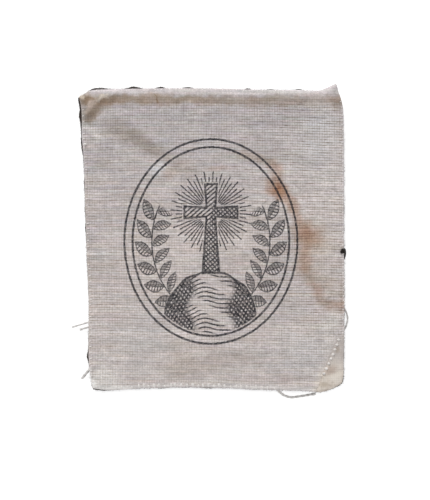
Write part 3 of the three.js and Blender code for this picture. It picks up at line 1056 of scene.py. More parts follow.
def print_group():
    """A node group that turns a place in mm from the oval's middle into ink from 0 to 1."""
    tree = bpy.data.node_groups.new("ink_drawing", "ShaderNodeTree")
    tree.interface.new_socket("Place", in_out="INPUT", socket_type="NodeSocketVector")
    tree.interface.new_socket("Ink", in_out="OUTPUT", socket_type="NodeSocketFloat")
    x, y, _ = split(tree, tree.nodes.new("NodeGroupInput").outputs[0])
    ovals = most(*(stroke(oval_distance(x, y, *radii), LINE) for radii in OVALS))
    within = fade(oval_distance(x, y, *OVALS[1]), -0.3, -0.5)
    beyond_mound = fade(mound_distance(x, y), 0.1, 0.3)
    drawing = most(draw_cross_and_rays(x, y), draw_mound(x, y), draw_sprays(x, y) * beyond_mound)
    feed(tree, tree.nodes.new("NodeGroupOutput").inputs[0], most(ovals, within * drawing))
    return tree


ink_drawing = print_group()
print("print:", len(ink_drawing.nodes), "nodes")

# %% [markdown]
# ## The cotton's finish
#
# Three things make this cloth what it is: its threads, its stains and its print. The threads are
# drawn in thread coordinates, which the mesh carries as a UV map counted in threads, so the
# pattern lies exactly on the modelled weave. Each thread gets a tone of its own, and the gaps
# between the threads are darkened in the colour as painted shade. The stains and the worn places
# are soft blobs with ragged edges, one row of a table each: a stain multiplies the cloth's colour,
# and a worn place covers it. Some stain rows are painted shade in the valleys of the creases and
# under the hem, some worn rows are painted highlights on ridges and a corner, and the ridges of
# the creases are painted a little lighter. Noise breaks up the ink, and it is a little thinner on
# the crowns of the threads.

# %% Stains, painted shade and highlights, and tones of the cotton
COTTON_TONE = linear(224, 217, 216)
GREY_TONE = linear(197, 192, 195)
WARM_TONE = linear(214, 202, 198)
RUST = (0.70, 0.46, 0.31)
TEA_AND_SHADE = (0.60, 0.49, 0.355)
STRAW = (0.92, 0.83, 0.70)
GREY_SOIL_AND_SHADE = (0.62, 0.58, 0.51)
CHALK = linear(222, 224, 230)
CREAM = linear(226, 216, 204)
PALE = linear(236, 232, 229)
PINKISH = linear(204, 186, 174)
PULLED = linear(249, 246, 243)
COOL = linear(213, 212, 214)
LINING_UPPER = linear(202, 194, 190)
LINING_LOWER = linear(234, 224, 213)
INK = linear(30, 31, 38)
CURL = {"x": -22.4, "y": 24.6, "wide": 3.0, "tall": 3.2, "turn": 0, "depth": 0.7}
STAINS_AND_SHADE = rows(
    "tone x y wide tall turn depth",
    (TEA_AND_SHADE, 6.2, 15.3, 3.8, 1.0, -12, 0.42),
    (TEA_AND_SHADE, 9.6, 14.4, 2.6, 1.0, -30, 0.42),
    (RUST, 11.4, 12.2, 1.4, 3.0, 14, 0.5),
    (RUST, 10.9, 9.7, 1.8, 1.9, 0, 0.8),
    (RUST, 12.2, 8.7, 1.7, 2.0, 30, 0.95),
    (RUST, 14.4, 5.8, 1.3, 3.2, 22, 0.62),
    (RUST, 16.1, 1.7, 2.2, 2.5, 24, 0.66),
    (RUST, 17.6, 0.2, 2.9, 2.6, 10, 0.55),
    (RUST, 16.4, -3.6, 1.7, 3.4, -12, 0.55),
    (TEA_AND_SHADE, 17.0, -6.2, 1.4, 2.8, 24, 0.5),
    (RUST, 18.9, -9.4, 1.3, 2.6, 34, 0.5),
    (TEA_AND_SHADE, 20.2, -11.7, 2.6, 1.2, -12, 0.46),
    (RUST, 22.8, -12.4, 2.4, 1.2, 4, 0.56),
    (TEA_AND_SHADE, 23.6, -9.6, 0.8, 3.4, 0, 0.26),
    (TEA_AND_SHADE, -5.7, 13.3, 3.4, 1.6, -20, 0.3),
    (RUST, -8.2, 12.2, 1.8, 1.3, 0, 0.26),
    (RUST, 0.4, 13.1, 2.8, 0.9, 0, 0.3),
    # pull from the upper left corner: soil and painted shade along its trough
    (GREY_SOIL_AND_SHADE, -17.0, 19.7, 4.6, 2.3, -20, 0.62),
    (GREY_SOIL_AND_SHADE, -12.4, 17.0, 5.0, 1.9, -30, 0.74),
    (GREY_SOIL_AND_SHADE, -20.6, 13.8, 2.4, 1.6, 0, 0.3),
    # upper left curl: brown that is partly stain and partly painted shade in the curl's valleys
    (TEA_AND_SHADE, -22.2, 23.9, 1.3, 2.8, -32, 0.74),
    (TEA_AND_SHADE, -20.0, 25.2, 2.6, 1.3, 22, 0.6),
    (TEA_AND_SHADE, -23.0, 22.4, 1.0, 1.4, 0, 0.4),
    (TEA_AND_SHADE, -23.6, 25.6, 1.2, 1.2, 0, 0.5),
    (GREY_SOIL_AND_SHADE, -24.3, 23.6, 2.0, 3.2, 0, 0.85),
    (TEA_AND_SHADE, -22.7, 24.3, 1.6, 1.8, 0, 0.25),
    (STRAW, 18.4, -0.4, 3.8, 4.0, 0, 0.45),
    (TEA_AND_SHADE, 18.9, -6.9, 1.8, 1.8, 0, 0.24),
    (TEA_AND_SHADE, 21.0, -9.0, 2.2, 1.6, -30, 0.3),
    (GREY_SOIL_AND_SHADE, -11.0, -19.6, 7.5, 1.7, 0, 0.26),
    (GREY_SOIL_AND_SHADE, 5.0, -22.0, 4.6, 1.9, 0, 0.27),
    (TEA_AND_SHADE, -10.9, 25.9, 0.2, 0.9, 18, 0.8),
    (TEA_AND_SHADE, 22.4, 25.0, 1.2, 1.9, 10, 0.3),
    (GREY_SOIL_AND_SHADE, -2.6, -23.4, 9.0, 3.4, 3, 0.3),
    (GREY_SOIL_AND_SHADE, -7.4, -24.6, 2.6, 1.8, 3, 0.3),
    (TEA_AND_SHADE, 14.0, -25.6, 2.6, 1.2, 8, 0.16),
    (TEA_AND_SHADE, -6.0, -22.0, 2.4, 1.6, 0, 0.2),
)
WORN_AND_LIT = rows(
    "tone x y wide tall turn depth",
    (linear(212, 200, 184), -24.7, 26.3, 0.9, 0.6, -30, 0.8),
    # painted highlight on a small crease ridge
    (CHALK, -10.6, 12.9, 2.0, 1.2, 35, 0.5),
    (COOL, 19.4, 18.0, 4.5, 6.0, 0, 0.5),
    (COOL, 16.5, -21.5, 6.5, 4.5, 0, 0.55),
    (COOL, -13.0, -18.5, 6.0, 5.5, 0, 0.4),
    (CHALK, 18.5, 16.5, 3.0, 1.4, -20, 0.2),
    (CHALK, 19.5, 21.6, 3.6, 2.0, 0, 0.3),
    (PALE, 21.4, -20.0, 2.2, 2.0, 0, 0.4),
    (PALE, 21.4, 11.6, 2.2, 2.4, 0, 0.25),
    # painted highlights on the ridge of the upper left curl
    (CREAM, -20.8, 26.3, 2.0, 0.5, 25, 0.7),
    (PINKISH, -23.0, 24.5, 0.8, 1.9, -34, 0.6),
    (PALE, 19.0, 24.6, 2.6, 1.6, 0, 0.35),
    (PALE, -22.4, 19.4, 2.4, 0.8, -42, 0.4),
    # painted light on the lower left corner
    (PALE, -20.8, -25.4, 4.2, 2.4, 0, 0.9),
    (PALE, -14.0, -24.0, 5.0, 1.4, 0, 0.35),
    (PALE, 21.6, -15.6, 2.2, 3.4, -10, 0.75),
)
# under the hem's ridge: a band that is partly stain and partly painted shade
HEM_STAIN_AND_SHADE = {"at": 25.55, "half": 0.7, "soft": 0.75, "depth": 0.7}


def blob(tree, row, place):
    """A soft round mark from a row of a table, as a share from 0 to its depth."""
    shape = add_node(
        tree, "ShaderNodeMapping",
        {"Vector": place, "Location": (row["x"], row["y"], 0),
         "Rotation": (0, 0, math.radians(row["turn"])), "Scale": (row["wide"], row["tall"], 1)},
        vector_type="TEXTURE",
    )
    x, y, _ = split(tree, shape.outputs[0])
    return fade(root_of_squares(x, y), 1.3, 0.2, high=row["depth"], shape="SMOOTHSTEP")


def stained_and_shaded(tree, colour, place, wander):
    """The cloth's colour with each row of the tables laid over it, painted shade and highlights among them.
    """
    for row in STAINS_AND_SHADE:
        colour = mixed(tree, blob(tree, row, wander), colour, row["tone"], "MULTIPLY")
    x, y, _ = split(tree, wander)
    # the hem's band of stain and painted shade, under its ridge
    off_line = abs(y - fade(x, -16.0, 4.0, 0.3, 0.0) - HEM_STAIN_AND_SHADE["at"])
    reach = HEM_STAIN_AND_SHADE["half"] + HEM_STAIN_AND_SHADE["soft"]
    band = fade(off_line, reach, HEM_STAIN_AND_SHADE["half"] * 0.4, high=HEM_STAIN_AND_SHADE["depth"], shape="SMOOTHSTEP")
    band = band * fade(noise(tree, place, 0.25), 0.3, 0.6, 0.75, 1.0) * fade(x, -14.0, 4.0, 1.25, 0.95)
    colour = mixed(tree, band, colour, TEA_AND_SHADE, "MULTIPLY")
    # wear, and painted highlights on ridges and a corner
    for row in WORN_AND_LIT:
        colour = mixed(tree, blob(tree, row, wander), colour, row["tone"])
    return colour


# %% Printed cotton's material
def thread_maths(tree):
    """Wires that say which thread lies on top at each place and how far it is from its middle."""
    a, b, _ = split(tree, add_node(tree, "ShaderNodeUVMap", uv_map="threads").outputs[0])
    warp, weft = a.do("FLOOR"), b.do("FLOOR")
    across, down = a - warp - 0.5, b - weft - 0.5
    weft_line = ((a - 0.5 - weft) * math.pi).do("COSINE") * WEFT["wave"]
    warp_line = ((b - 0.5 - warp) * math.pi).do("COSINE") * -WARP["wave"]

    def rounded_wire(offset, thread):
        share = offset / thread["fill"]
        return (1.0 - share * share).do("MAXIMUM", 0.0).do("SQRT") * thread["radius"]

    weft_top = weft_line + rounded_wire(down, WEFT)
    warp_top = warp_line + rounded_wire(across, WARP)
    return {
        "a": a, "b": b, "warp": warp, "weft": weft,
        "top": most(weft_top, warp_top),
        "weft_shows": fade(weft_top - warp_top, -0.005, 0.005),
        "row_gap": fade(abs(down), 0.24, 0.47, shape="SMOOTHSTEP"),
        "column_gap": fade(abs(across), 0.24, 0.47, shape="SMOOTHSTEP"),
    }


def cotton_material():
    """Thread tones, stains and painted shade, wear and painted highlights, painted shade between the threads,
    and ink, in that order.
    """
    material, tree, shader, place = start_material("printed_cotton")
    threads = thread_maths(tree)
    a, b, warp, weft = (threads[name] for name in ("a", "b", "warp", "weft"))

    def wave(across, down, seed, detail=1.0, roughness=0.5, colour=False):
        return noise(tree, vector(tree, across, down, seed), 1.0, detail, roughness, colour)

    weft_tone = wave(a * 0.07, weft * 5.3, 0.0, 3.0, 0.65)
    warp_tone = wave(warp * 5.3, b * 0.07, 9.0, 3.0, 0.65)
    weft_fibres = wave(a * 1.3, b * 9.0, 3.0, 2.0)
    warp_fibres = wave(a * 9.0, b * 1.3, 5.0, 2.0)
    shows = threads["weft_shows"]
    tone = shows * weft_tone + (1.0 - shows) * warp_tone
    fibres = shows * weft_fibres + (1.0 - shows) * warp_fibres
    broad = noise(tree, place, 0.11, 3.0, 0.55)

    x, y, z = split(tree, place)
    greyer = fade(broad, 0.35, 0.68) * 0.5 + fade(y - x * 0.3, 2.0, 22.0, 0.0, 0.8)
    greyer = least(greyer, 1.0) * fade(y, 25.0, 26.5, 1.0, 0.55)
    colour = mixed(tree, greyer, COTTON_TONE, GREY_TONE)
    streaks = wave(a * 0.05, b * 0.6, 31.0, 3.0, 0.6)
    warmth = fade(streaks, 0.42, 0.66, 0.0, 0.8) * fade(y + x * 0.35, 0.0, 18.0, 1.0, 0.3)
    colour = mixed(tree, warmth, colour, WARM_TONE)
    hue = wave(a * 0.12, weft * 3.1, 17.0, colour=True)
    colour = mixed(tree, 0.08, colour, hue, "OVERLAY")
    colour = stained_and_shaded(tree, colour, place, strayed(tree, place, 2.4, 0.55, 3.0, 0.6))

    fold, edge, seam, pulled = (
        Wire(tree, add_node(tree, "ShaderNodeAttribute", attribute_name=name).outputs["Fac"])
        for name in ("fold", "edge", "seam", "pulled")
    )
    # crease ridges: painted a little lighter as highlight, and the painted shade of their weave is eased
    ridge_wear_and_light = fade(fold, 0.08, 0.4)
    closed = (1.0 - ridge_wear_and_light * 0.6) * fade(edge, 0.0, 1.0, 0.15, 1.0) * (1.0 - seam * 0.75)
    closed = closed * (1.0 - blob(tree, CURL, place)) * (1.0 - pulled * 0.6)
    colour = mixed(tree, pulled * fade(x, -17.0, -14.0, 1.0, 0.42), colour, PULLED)
    # painted shade along the left rim below the curl, where the edge turns down, in a soil colour
    left_rim_shade = (1.0 - edge) * fade(x, -21.0, -19.0, 0.5, 0.0) * fade(y, 8.0, 14.0, 1.0, 0.0)
    colour = mixed(tree, left_rim_shade * fade(y, -24.0, -20.0), colour, GREY_SOIL_AND_SHADE, "MULTIPLY")
    lower = fade(y, -25.0, -21.5, 1.0, 0.0)
    colour = mixed(tree, seam * 0.7, colour, mixed(tree, lower, LINING_UPPER, LINING_LOWER))
    crown = fade(threads["top"], 0.03, 0.17)
    hem = fade(y, 24.4, 26.2, 1.0, 0.35)
    dash = wave(a * 0.5, weft * 7.7, 21.0)
    grain = noise(tree, place, 3.4, 2.0, 0.6)
    long_tone = wave(a * 0.02, weft * 3.9, 41.0)
    cloudy = noise(tree, place, 0.4, 3.0, 0.6)
    light = 1.0 + ridge_wear_and_light * 0.03
    for pattern, dark, bright in (
        (tone, 0.83, 1.15), (dash, 0.92, 1.08), (fibres, 0.92, 1.07),
        (grain, 0.86, 1.14), (long_tone, 0.93, 1.07), (cloudy, 0.95, 1.05),
    ):
        light = light * fade(pattern, 0.3, 0.7, dark, bright)
    # painted shade in the gaps between threads, deeper between rows than between columns, eased where the
    # weave closes
    row_noise = wave(a * 0.3, b * 0.9, 12.0, 3.0, 0.7)
    row_depth = fade(row_noise, 0.32, 0.68, 0.04, 0.62) * fade(y, -22.0, -14.0, 0.7, 1.0)
    row_depth = row_depth * fade(x, 6.0, 16.0, 1.0, 1.3)
    column_noise = wave(a * 0.9, b * 0.3, 4.0, 3.0, 0.7)
    column_depth = fade(column_noise, 0.32, 0.68, 0.0, 0.26) + fade(y, 12.0, 24.0, 0.0, 0.08)
    gaps = 1.0 - threads["row_gap"] * row_depth * closed * hem
    gaps = gaps * (1.0 - threads["column_gap"] * column_depth * closed * hem)

    from_middle = vector_maths(tree, "SUBTRACT", strayed(tree, place, 0.24, 2.6, 1.0), (*OVAL_MIDDLE, 0))
    drawing = add_node(tree, "ShaderNodeGroup", node_tree=ink_drawing)
    tree.links.new(from_middle, drawing.inputs[0])
    coverage = fade(noise(tree, place, 1.7, 3.0, 0.7), 0.3, 0.55, 0.62, 1.0)
    coverage = coverage * fade(crown, 0.6, 1.0, 1.0, 0.86)
    ink = Wire(tree, drawing.outputs[0]) * coverage * fade(z, 1.6, 1.9) * 0.97

    # the tone times the painted gap shade, which turns browner in the gaps
    grey = add_node(
        tree, "ShaderNodeCombineColor",
        {0: light * gaps.do("POWER", 0.85), 1: light * gaps, 2: light * gaps.do("POWER", 1.2)},
    )
    colour = mixed(tree, 1.0, colour, grey.outputs[0], "MULTIPLY")
    colour = mixed(tree, ink, colour, INK)
    twist = ((a * 2.0 + b * 5.0) * (2 * math.pi)).do("SINE") * 0.006
    relief = threads["top"] * 0.4 * closed * hem + fibres * 0.03 + twist
    finished(
        tree, shader, colour, relief, 0.5,
        Roughness=0.92, Specular_IOR_Level=0.25, Sheen_Weight=0.12, Sheen_Roughness=0.6,
    )
    return material


front.data.materials.append(cotton_material())

# %% [markdown]
# ## The other cloths and the threads
#
# The lining is a finer cloth without ribs, blotched where damp has dried, with painted shade in
# the gaps of its threads and beside the seam. The wool is nearly black with a brown cast, and its
# sheen comes from short nap. Sewing cotton is whiter than the cloth, because it took no ink and
# less dirt. All three read the place in the frame, so they need no UV map.

# %% Lining, wool and thread materials
LINING_MARKS_AND_SHADE = rows(
    "tone x y wide tall turn depth",
    # painted shade beside the second corner stitch
    (linear(176, 162, 150), 22.6, -20.4, 0.55, 0.7, 0, 0.7),
    (linear(196, 176, 164), 21.3, -24.2, 1.5, 1.0, 20, 0.7),
    (linear(240, 232, 222), 22.4, -25.8, 1.2, 0.9, 0, 0.8),
    (linear(234, 224, 216), 23.2, -23.0, 0.6, 0.9, 0, 0.6),
    (linear(192, 178, 160), 20.1, -26.9, 1.1, 0.6, 0, 0.7),
)


def lining_material():
    material, tree, shader, place = start_material("cream_lining")
    x, y, _ = split(tree, place)
    pitch = 0.34
    weave = abs((x / pitch * math.pi).do("SINE") * (y / pitch * math.pi).do("SINE"))
    blotch = noise(tree, place, 0.8, 3.0, 0.6)
    speck = noise(tree, place, 2.0, 2.0, 0.6)
    lower = fade(y + fade(blotch, 0.3, 0.7, -1.0, 1.0), -25.0, -22.0, 1.0, 0.0)
    colour = mixed(tree, lower, LINING_UPPER, LINING_LOWER)
    blotched = fade(blotch, 0.46, 0.62, 0.0, 0.6) * (lower * 0.7 + 0.3)
    colour = mixed(tree, blotched, colour, linear(188, 172, 158))
    colour = mixed(tree, fade(speck, 0.5, 0.75, 0.0, 0.4), colour, linear(240, 233, 225))
    for row in LINING_MARKS_AND_SHADE:
        colour = mixed(tree, blob(tree, row, place), colour, row["tone"])
    # painted shade in the gaps of the lining's threads
    colour = mixed(tree, fade(weave, 0.0, 0.7, 0.25, 0.0), colour, linear(170, 160, 150))
    relief = weave * 0.06 + speck * 0.1
    finished(
        tree, shader, colour, relief, 0.6, Roughness=0.9, Specular_IOR_Level=0.25, Sheen_Weight=0.1
    )
    return material


def wool_material(name, tone, brown):
    material, tree, shader, place = start_material(name)
    felted = noise(tree, place, 1.6, 4.0, 0.65)
    hairs = noise(tree, place, 9.0, 2.0, 0.6)
    x, y, _ = split(tree, place)
    twill = ((x + y) / 0.75 * (2 * math.pi)).do("SINE") * 0.5 + 0.5
    colour = mixed(tree, fade(felted, 0.35, 0.7), tone, brown)
    colour = mixed(tree, fade(hairs, 0.5, 0.8, 0.0, 0.5), colour, linear(92, 82, 76))
    relief = felted * 0.25 + hairs * 0.08 + twill * 0.06
    finished(
        tree, shader, colour, relief, 0.8,
        Roughness=1.0, Specular_IOR_Level=0.15, Sheen_Weight=0.35, Sheen_Roughness=0.5,
    )
    return material


def thread_material(name, light, dark, sheen):
    material, tree, shader, place = start_material(name)
    tone = noise(tree, place, 2.0, 3.0, 0.6)
    fibres = noise(tree, place, 14.0, 2.0, 0.6)
    colour = mixed(tree, fade(tone, 0.35, 0.68), light, dark)
    colour = mixed(tree, fade(fibres, 0.45, 0.75, 0.0, 0.35), colour, dark)
    finished(
        tree, shader, colour, fibres * 0.04, 0.5,
        Roughness=0.8, Specular_IOR_Level=0.3, Sheen_Weight=sheen,
    )
    return material


lining.data.materials.append(lining_material())
wool_finish = wool_material("dark_wool", linear(46, 40, 37), linear(66, 54, 47))
wool.data.materials.append(wool_finish)
white_thread = thread_material("sewing_cotton", linear(252, 248, 245), linear(226, 221, 217), 0.15)
loose_thread = thread_material("loose_cotton", linear(229, 227, 225), linear(200, 197, 195), 0.1)
grey_thread = thread_material("grey_cotton", linear(240, 238, 236), linear(212, 209, 206), 0.1)
dark_thread = thread_material("dark_thread", linear(40, 31, 27), linear(24, 18, 16), 0.1)

# %% [markdown]
# ## Whip stitches
#
# A stitch is a short arc of thread, and there are well over a hundred, so Geometry Nodes place
# them: a Bezier segment is swept into a thread once, and a copy stands at each point of a small
# mesh that holds only the places of the stitches. Each point carries its outward way and its own
# scale as attributes. Realize Instances turns the copies into mesh.

# %% Stitch tree
def new_geometry_tree(name, inputs):
    """A Geometry Nodes tree with a geometry in and out, and named inputs with their kinds."""
    tree = bpy.data.node_groups.new(name, "GeometryNodeTree")
    for label, kind in {"Geometry": "Geometry", **inputs, "Finish": "Material"}.items():
        tree.interface.new_socket(label, in_out="INPUT", socket_type=f"NodeSocket{kind}")
    tree.interface.new_socket("Geometry", in_out="OUTPUT", socket_type="NodeSocketGeometry")
    start = tree.nodes.new("NodeGroupInput")
    end = tree.nodes.new("NodeGroupOutput")
    return tree, {socket.name: socket for socket in start.outputs if socket.name}, end


def finish_tree(tree, geometry, finish, end):
    """Every tree ends in real mesh with its material."""
    solid = add_node(tree, "GeometryNodeRealizeInstances", {0: geometry})
    painted = add_node(tree, "GeometryNodeSetMaterial", {"Geometry": solid.outputs[0], "Material": finish})
    tree.links.new(painted.outputs[0], end.inputs[0])


def swept(tree, curve, sides, radius):
    """A curve as a closed round strand."""
    ring = add_node(tree, "GeometryNodeCurvePrimitiveCircle", {"Resolution": sides, "Radius": radius})
    return add_node(
        tree, "GeometryNodeCurveToMesh", {"Curve": curve, "Profile Curve": ring.outputs[0], "Fill Caps": True}
    ).outputs[0]


def arc(tree, steps, start, start_handle, end_handle, end):
    """A short curve with a handle at each end."""
    return add_node(
        tree, "GeometryNodeCurvePrimitiveBezierSegment",
        {"Resolution": steps, "Start": start, "Start Handle": start_handle,
         "End Handle": end_handle, "End": end},
    ).outputs[0]


def copies(tree, points, shape, rotation, scale):
    """A copy of a shape at each point."""
    return add_node(
        tree, "GeometryNodeInstanceOnPoints",
        {"Points": points, "Instance": shape, "Rotation": rotation, "Scale": scale},
    ).outputs[0]


def named_value(tree, name, kind):
    return add_node(tree, "GeometryNodeInputNamedAttribute", {0: name}, data_type=kind).outputs[0]


def stitch_tree():
    """A tree that puts a stitch, a short arc of thread, at each point."""
    vectors = ("Entry", "Over", "Under", "Exit")
    inputs = {**dict.fromkeys(vectors, "Vector"), "Thread Radius": "Float"}
    tree, given, end = new_geometry_tree("whip_stitches", inputs)
    path = arc(tree, 9, *(given[label] for label in vectors))
    strand = swept(tree, path, 6, given["Thread Radius"])
    facing, size = (named_value(tree, name, "FLOAT_VECTOR") for name in ("facing", "size"))
    turned = add_node(
        tree, "FunctionNodeAlignRotationToVector", {"Vector": facing}, axis="X", pivot_axis="Z"
    )
    placed = copies(tree, given["Geometry"], strand, turned.outputs[0], size)
    finish_tree(tree, placed, given["Finish"], end)
    return tree


def points_object(name, places, attributes):
    """A mesh of loose points in the frame, with vector attributes."""
    mesh = bpy.data.meshes.new(name)
    mesh.from_pydata([in_frame(place) for place in places], [], [])
    for label, values in attributes.items():
        layer = mesh.attributes.new(label, "FLOAT_VECTOR", "POINT")
        layer.data.foreach_set("vector", np.asarray(values, np.float32).ravel())
    return in_scene(name, mesh)


def grown(piece, tree, inputs):
    """Runs a tree on an object and keeps the result as a plain mesh."""
    modifier = piece.modifiers.new("grow", "NODES")
    identifiers = {item.name: item.identifier for item in tree.interface.items_tree if item.in_out == "INPUT"}
    modifier.node_group = tree
    for label, value in inputs.items():
        modifier[identifiers[label]] = value
    bpy.context.view_layer.update()
    evaluated = piece.evaluated_get(bpy.context.evaluated_depsgraph_get())
    mesh = bpy.data.meshes.new_from_object(evaluated)
    piece.modifiers.remove(modifier)
    piece.data = mesh
    mesh.name = piece.name
    for attribute in [layer.name for layer in mesh.attributes if layer.name in ("facing", "size")]:
        mesh.attributes.remove(mesh.attributes[attribute])
    mesh.polygons.foreach_set("use_smooth", np.ones(len(mesh.polygons), bool))
    report(piece)
    return piece


# %% Whip stitches round the edges
STITCH_RADIUS = 0.08
STITCH_FOOT = 0.16
whipping = stitch_tree()


def whip_stitches(side):
    """The stitches of one side, from the face over the edge and round under the wool."""
    places, out, bite = stitches[side]
    lift = np.clip(drape(*places.T), 0, 0.5)
    size = np.stack([
        bite / SEWING[side]["bite"], dice.uniform(0.7, 1.3, len(places)), 1 + lift / COTTON_FACE,
    ], -1)
    piece = points_object(
        f"stitches_{side}", np.c_[places, np.zeros(len(places))],
        {"facing": np.c_[out, np.zeros(len(out))], "size": size},
    )
    depth = SEWING[side]["bite"] * MM
    # With this handle, the middle of the arc lies at the reach.
    handle = (8 * SEWING[side]["reach"] * MM + 2 * depth) / 6
    slant = 0.14 * MM
    radius = STITCH_RADIUS * SEWING[side]["thread"]
    fatter = radius - STITCH_RADIUS
    return grown(piece, whipping, {
        "Entry": (-depth, -slant, (COTTON_FACE - 0.14) * MM),
        "Over": (handle, -slant, (COTTON_FACE + 0.5) * MM),
        "Under": (handle, slant, (3 * fatter - 0.25) * MM),
        "Exit": (-depth, slant, (STITCH_FOOT + fatter) * MM),
        "Thread Radius": radius * MM,
        "Finish": white_thread,
    })


sewn = [whip_stitches(side) for side in SEWING]

# %% [markdown]
# ## Stitches of the turned corner
#
# Along the slant the same thread makes short, tight, bright stitches that hold the turned edge
# down on the lining. They are the same tree with other sizes: a low arch from the front's rolled
# edge into the lining. One more such knot stands alone near the top of the left edge.

# %% Stitches of the turned corner
CORNER_RADIUS = 0.23
STRAY_STITCH = (-23.95, 17.5, COTTON_FACE - 0.2)
corner_knots = np.vstack([np.c_[corner_places, np.full(CORNER_STITCHES, LINING_FACE - 0.2)], STRAY_STITCH])
corner_facing = np.tile([*slant_out, 0], (len(corner_knots), 1))
corner_size = dice.uniform(0.85, 1.15, (len(corner_knots), 3))
corner_stitches = grown(
    points_object("stitches_corner", corner_knots, {"facing": corner_facing, "size": corner_size}),
    whipping,
    {
        "Entry": (-0.12 * MM, -0.05 * MM, -0.1 * MM),
        "Over": (-0.08 * MM, -0.03 * MM, 0.62 * MM),
        "Under": (0.08 * MM, 0.03 * MM, 0.62 * MM),
        "Exit": (0.12 * MM, 0.05 * MM, -0.1 * MM),
        "Thread Radius": CORNER_RADIUS * MM,
        "Finish": white_thread,
    },
)

# %% [markdown]
# ## Loose ends of thread
#
# Sewing cotton is two or three plies twisted together, and a loose end shows it: the plies wind
# round each other and open at the tip. A tree does this for any path: the path becomes a curve,
# each ply is that curve pushed sideways by a vector that turns as it goes along, and each is
# swept into a strand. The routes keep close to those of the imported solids.

# %% Twisted thread tree
PLIES = 2


def twist_tree():
    """A tree that turns a path into a thread of twisted plies that open and thin at its end."""
    inputs = {"Thread Radius": "Float", "Twist Length": "Float", "Step": "Float"}
    tree, given, end = new_geometry_tree("twisted_thread", inputs)
    curve = add_node(tree, "GeometryNodeMeshToCurve", {0: given["Geometry"]})
    even = add_node(
        tree, "GeometryNodeResampleCurve", {"Curve": curve.outputs[0], "Length": given["Step"]},
        mode="LENGTH",
    )
    along_it = add_node(tree, "GeometryNodeSplineParameter")
    normal = add_node(tree, "GeometryNodeInputNormal")
    tangent = add_node(tree, "GeometryNodeInputTangent")
    length = Wire(tree, along_it.outputs["Length"])
    share = Wire(tree, along_it.outputs["Factor"])
    radius = Wire(tree, given["Thread Radius"])
    opening = fade(share, 0.86, 1.0, 0.26, 0.5)
    thinning = fade(share, 0.72, 1.0, 1.0, 0.34)
    joined = add_node(tree, "GeometryNodeJoinGeometry")
    for ply in range(PLIES):
        angle = length / Wire(tree, given["Twist Length"]) * (2 * math.pi) + 2 * math.pi * ply / PLIES
        turned = add_node(
            tree, "ShaderNodeVectorRotate",
            {"Vector": normal.outputs[0], "Axis": tangent.outputs[0], "Angle": angle},
            rotation_type="AXIS_ANGLE",
        )
        sideways = add_node(
            tree, "ShaderNodeVectorMath", {0: turned.outputs[0], "Scale": radius * opening}, operation="SCALE"
        )
        moved = add_node(
            tree, "GeometryNodeSetPosition", {"Geometry": even.outputs[0], "Offset": sideways.outputs[0]}
        )
        sized = add_node(tree, "GeometryNodeSetCurveRadius", {0: moved.outputs[0], 2: thinning})
        tree.links.new(swept(tree, sized.outputs[0], 7, radius * 0.8), joined.inputs[0])
    finish_tree(tree, joined.outputs[0], given["Finish"], end)
    return tree


def smooth_path(places, steps=10):
    """A smooth line through all places, as short stretches."""
    places = np.array(places, float)
    padded = np.vstack([2 * places[0] - places[1], places, 2 * places[-1] - places[-2]])
    share = np.linspace(0, 1, steps, endpoint=False)[:, None]
    path = []
    for p0, p1, p2, p3 in zip(padded, padded[1:], padded[2:], padded[3:]):
        path.append(0.5 * (
            2 * p1 + (p2 - p0) * share + (2 * p0 - 5 * p1 + 4 * p2 - p3) * share**2
            + (3 * p1 - p0 - 3 * p2 + p3) * share**3
        ))
    return np.vstack([*path, places[-1]])


def twisted(name, places, radius, twist, finish):
    """A twisted thread along a path in mm."""
    path = smooth_path(places)
    mesh = bpy.data.meshes.new(name)
    links = [(step, step + 1) for step in range(len(path) - 1)]
    mesh.from_pydata([in_frame(place) for place in path], links, [])
    return grown(in_scene(name, mesh), twisting, {
        "Thread Radius": radius * MM, "Twist Length": twist * MM, "Step": radius * 0.5 * MM,
        "Finish": finish,
    })


twisting = twist_tree()

# %% Loose ends
THREAD_RADIUS = 0.18
TWIST_LENGTH = 2.0
PLY_REACH = 1.06
SEAM_HEIGHT = WOOL_TOP + SEAM / 2
THICKER = {
    "thread_left_long": 1.05, "thread_left_short": 1.05, "thread_left_low": 1.5, "thread_bottom": 1.3,
}


def lying(name):
    """How high the middle of a thread lies on the table, where its plies just touch it."""
    return PLY_REACH * THREAD_RADIUS * THICKER[name]


LOOSE_ENDS = {
    "thread_left_long": [
        (-23.2, -15.36, SEAM_HEIGHT), (-23.95, -15.58, 1.05), (-24.8, -15.85, 0.75),
        (-25.8, -16.15, 0.4), (-26.65, -16.41, lying("thread_left_long")),
    ],
    "thread_left_short": [
        (-23.2, -16.23, SEAM_HEIGHT), (-23.95, -16.48, 0.95), (-24.6, -16.69, 0.6),
        (-25.2, -16.9, lying("thread_left_short")),
    ],
    "thread_left_low": [
        (-23.2, -24.0, SEAM_HEIGHT), (-23.6, -24.5, 0.95), (-24.2, -25.25, 0.6),
        (-24.8, -25.95, lying("thread_left_low")),
    ],
    "thread_bottom": [
        (11.3, -27.6, SEAM_HEIGHT), (12.0, -28.4, 1.1), (12.9, -29.1, 0.75), (14.2, -29.5, 0.35),
        (16.3, -29.26, lying("thread_bottom")), (17.7, -29.02, lying("thread_bottom")),
        (18.75, -28.84, lying("thread_bottom")),
    ],
    "thread_right_loop": [
        (23.9, -12.7, SEAM_HEIGHT + 0.4), (24.2, -13.2, 1.2), (24.55, -14.0, 0.95),
        (24.68, -14.9, 0.8), (24.52, -15.8, 0.9), (24.2, -16.5, 1.2), (23.9, -16.9, SEAM_HEIGHT + 0.3),
    ],
}
